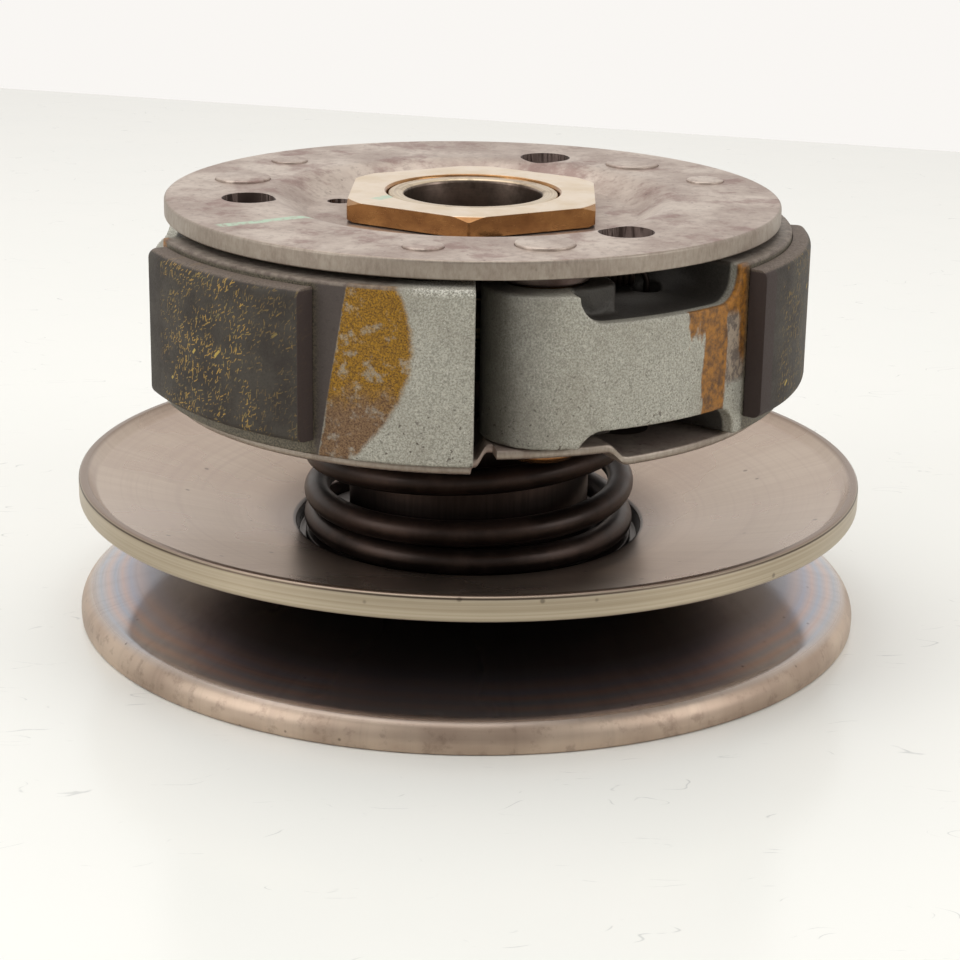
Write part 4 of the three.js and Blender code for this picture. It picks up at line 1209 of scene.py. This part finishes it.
NOWHERE = Vector((0, 0, 0))
masters = {
    "shoe": (shoe(), NOWHERE, "cast_aluminium"),
    "lining": (lining(), NOWHERE, "friction_lining"),
    "return_spring": (return_spring(), NOWHERE, "spring_steel"),
    "pivot_pin": (pivot_pin(), PIVOT, "plate_steel"),
    "pin_cap": (pin_cap(), PIVOT, "zinc_yellow"),
    "pivot_bush": (washer("bronze_pivot_bush", "pivot_bush_1", 5.3, 6.5, 0.3, 0.3, 64), PIVOT, "bronze"),
    "stop_pin": (stop_pin(), STOP_PLACE, "plate_steel"),
    "stop_rubber": (washer("damper_rubber", "stop_rubber_1", 2.8, 5, 0.4, 0.8), STOP_PLACE, "rubber"),
}
for number in range(1, STATIONS + 1):
    station(number, masters)
for master, _, _ in masters.values():
    bpy.data.objects.remove(master)

HIDDEN_INSIDE = {
    "movable_boss": "boss_steel", "o_ring_lower": "rubber", "o_ring_upper": "rubber",
    "oil_seal_lower": "rubber", "oil_seal_upper": "rubber",
    **{f"guide_{kind}_{number}": "bearing_steel" for kind in ("pin", "roller") for number in (1, 2, 3)},
}
for node, slot in HIDDEN_INSIDE.items():
    kept = frame["nodes"][node]
    kept.data.materials.clear()
    kept.data.materials.append(LOOKS[slot])

# ---------------------------------------------------------------- floor, backdrop, light and camera
FLOOR_BACK = ((-2200, 1265), (2200, -95))     # the table's far edge, on the left and on the right
FLOOR_FRONT = -1500
GLOW = {"From Min": -0.1, "From Max": 0.6, "To Min": 0.38, "To Max": 0.95}   # by heading along Y


def floor_look():
    """Pale lacquered table top: slightly glossy, with a few hair scratches."""
    look = Look("pale_floor", IOR=1.35)
    clouds = look.clouds(60, 3, 0.6)
    look.colour = look.mix(clouds, (243, 244, 239), (247, 246, 241))
    bent_place = look.node("VectorMath", look.place, (0.35, 1.0, 1.0), operation="MULTIPLY")
    swirl = look.noise(bent_place, 14, 2, 0.5, seed=2)
    hair = look.band(swirl, 0.498, 0.502, 0.002) + look.band(swirl, 0.43, 0.433, 0.0015)
    broken = look.step(look.clouds(9, 3, 0.6, seed=4), 0.55, 0.66)
    look.lay(hair * broken * 0.5, (186, 188, 186))
    return look.done(0.16 + clouds * 0.06)


def soft_light(name, place, target, size, power, tint=(1.0, 1.0, 1.0)):
    light = bpy.data.lights.new(name, "AREA")
    light.shape = "RECTANGLE"
    light.size, light.size_y = (side * MM for side in size)
    light.energy = power
    light.color = tint
    obj = bpy.data.objects.new(name, light)
    bpy.context.scene.collection.objects.link(obj)
    direction = (Vector(target) - Vector(place)).to_track_quat("-Z", "Y")
    obj.matrix_world = Matrix.Translation(Vector(place) * MM) @ direction.to_matrix().to_4x4()


def floor():
    """The flat table top, out to its far edge, on which nothing stands but the pulley."""
    (left, far_left), (right, far_right) = FLOOR_BACK
    corners = [(left, FLOOR_FRONT, 0), (right, FLOOR_FRONT, 0), (right, far_right, 0), (left, far_left, 0)]
    mesh = bpy.data.meshes.new("floor")
    mesh.from_pydata([Vector(corner) * MM for corner in corners], [], [tuple(range(len(corners)))])
    obj = bpy.data.objects.new("floor", mesh)
    bpy.context.scene.collection.objects.link(obj)
    obj.data.materials.append(floor_look())


def backdrop():
    """A pale glow all round, brightest past the table's far edge and dimmer in front."""
    world = bpy.data.worlds.new("soft studio")
    world.use_nodes = True
    nodes, links = world.node_tree.nodes, world.node_tree.links
    kinds = ("TexCoord", "SeparateXYZ", "MapRange")
    heading, split, glow = (nodes.new("ShaderNode" + kind) for kind in kinds)
    glow.interpolation_type = "SMOOTHSTEP"
    for name, value in GLOW.items():
        glow.inputs[name].default_value = value
    links.new(heading.outputs["Generated"], split.inputs[0])
    links.new(split.outputs["Y"], glow.inputs["Value"])
    links.new(glow.outputs["Result"], nodes["Background"].inputs["Strength"])
    nodes["Background"].inputs["Color"].default_value = (1.0, 0.975, 0.945, 1.0)
    bpy.context.scene.world = world


def studio():
    floor()
    backdrop()
    soft_light("overhead softbox", (-150, 60, 900), (0, 0, 40), (900, 900), 3.9)
    soft_light("left softbox", (-720, -380, 420), (0, 0, 40), (500, 600), 2.2)
    soft_light("right softbox", (720, -320, 420), (0, 0, 40), (500, 600), 1.9)


CAMERA = {"distance": 452.48, "height": 170.44, "pitch": 17.818, "yaw": 0.281, "roll": 0.963,
          "focal": 90.53, "sensor": 36.0}


def camera():
    """The photograph's viewing angle: a little above the plate, almost level across."""
    pitch, yaw, roll = (math.radians(CAMERA[key]) for key in ("pitch", "yaw", "roll"))
    ahead = Vector((math.sin(yaw) * math.cos(pitch), math.cos(yaw) * math.cos(pitch), -math.sin(pitch)))
    level = ahead.cross(Vector((0, 0, 1))).normalized()
    upright = level.cross(ahead)
    right = level * math.cos(roll) + upright * math.sin(roll)
    up = upright * math.cos(roll) - level * math.sin(roll)
    lens = bpy.data.cameras.new("camera")
    lens.lens, lens.sensor_width = CAMERA["focal"], CAMERA["sensor"]
    lens.clip_start, lens.clip_end = 0.01, 20
    obj = bpy.data.objects.new("camera", lens)
    bpy.context.scene.collection.objects.link(obj)
    turn = Matrix((right, up, -ahead)).transposed().to_4x4()
    obj.matrix_world = Matrix.Translation((0, -CAMERA["distance"] * MM, CAMERA["height"] * MM)) @ turn
    bpy.context.scene.camera = obj


studio()
camera()
bpy.context.scene.view_settings.view_transform = "Standard"
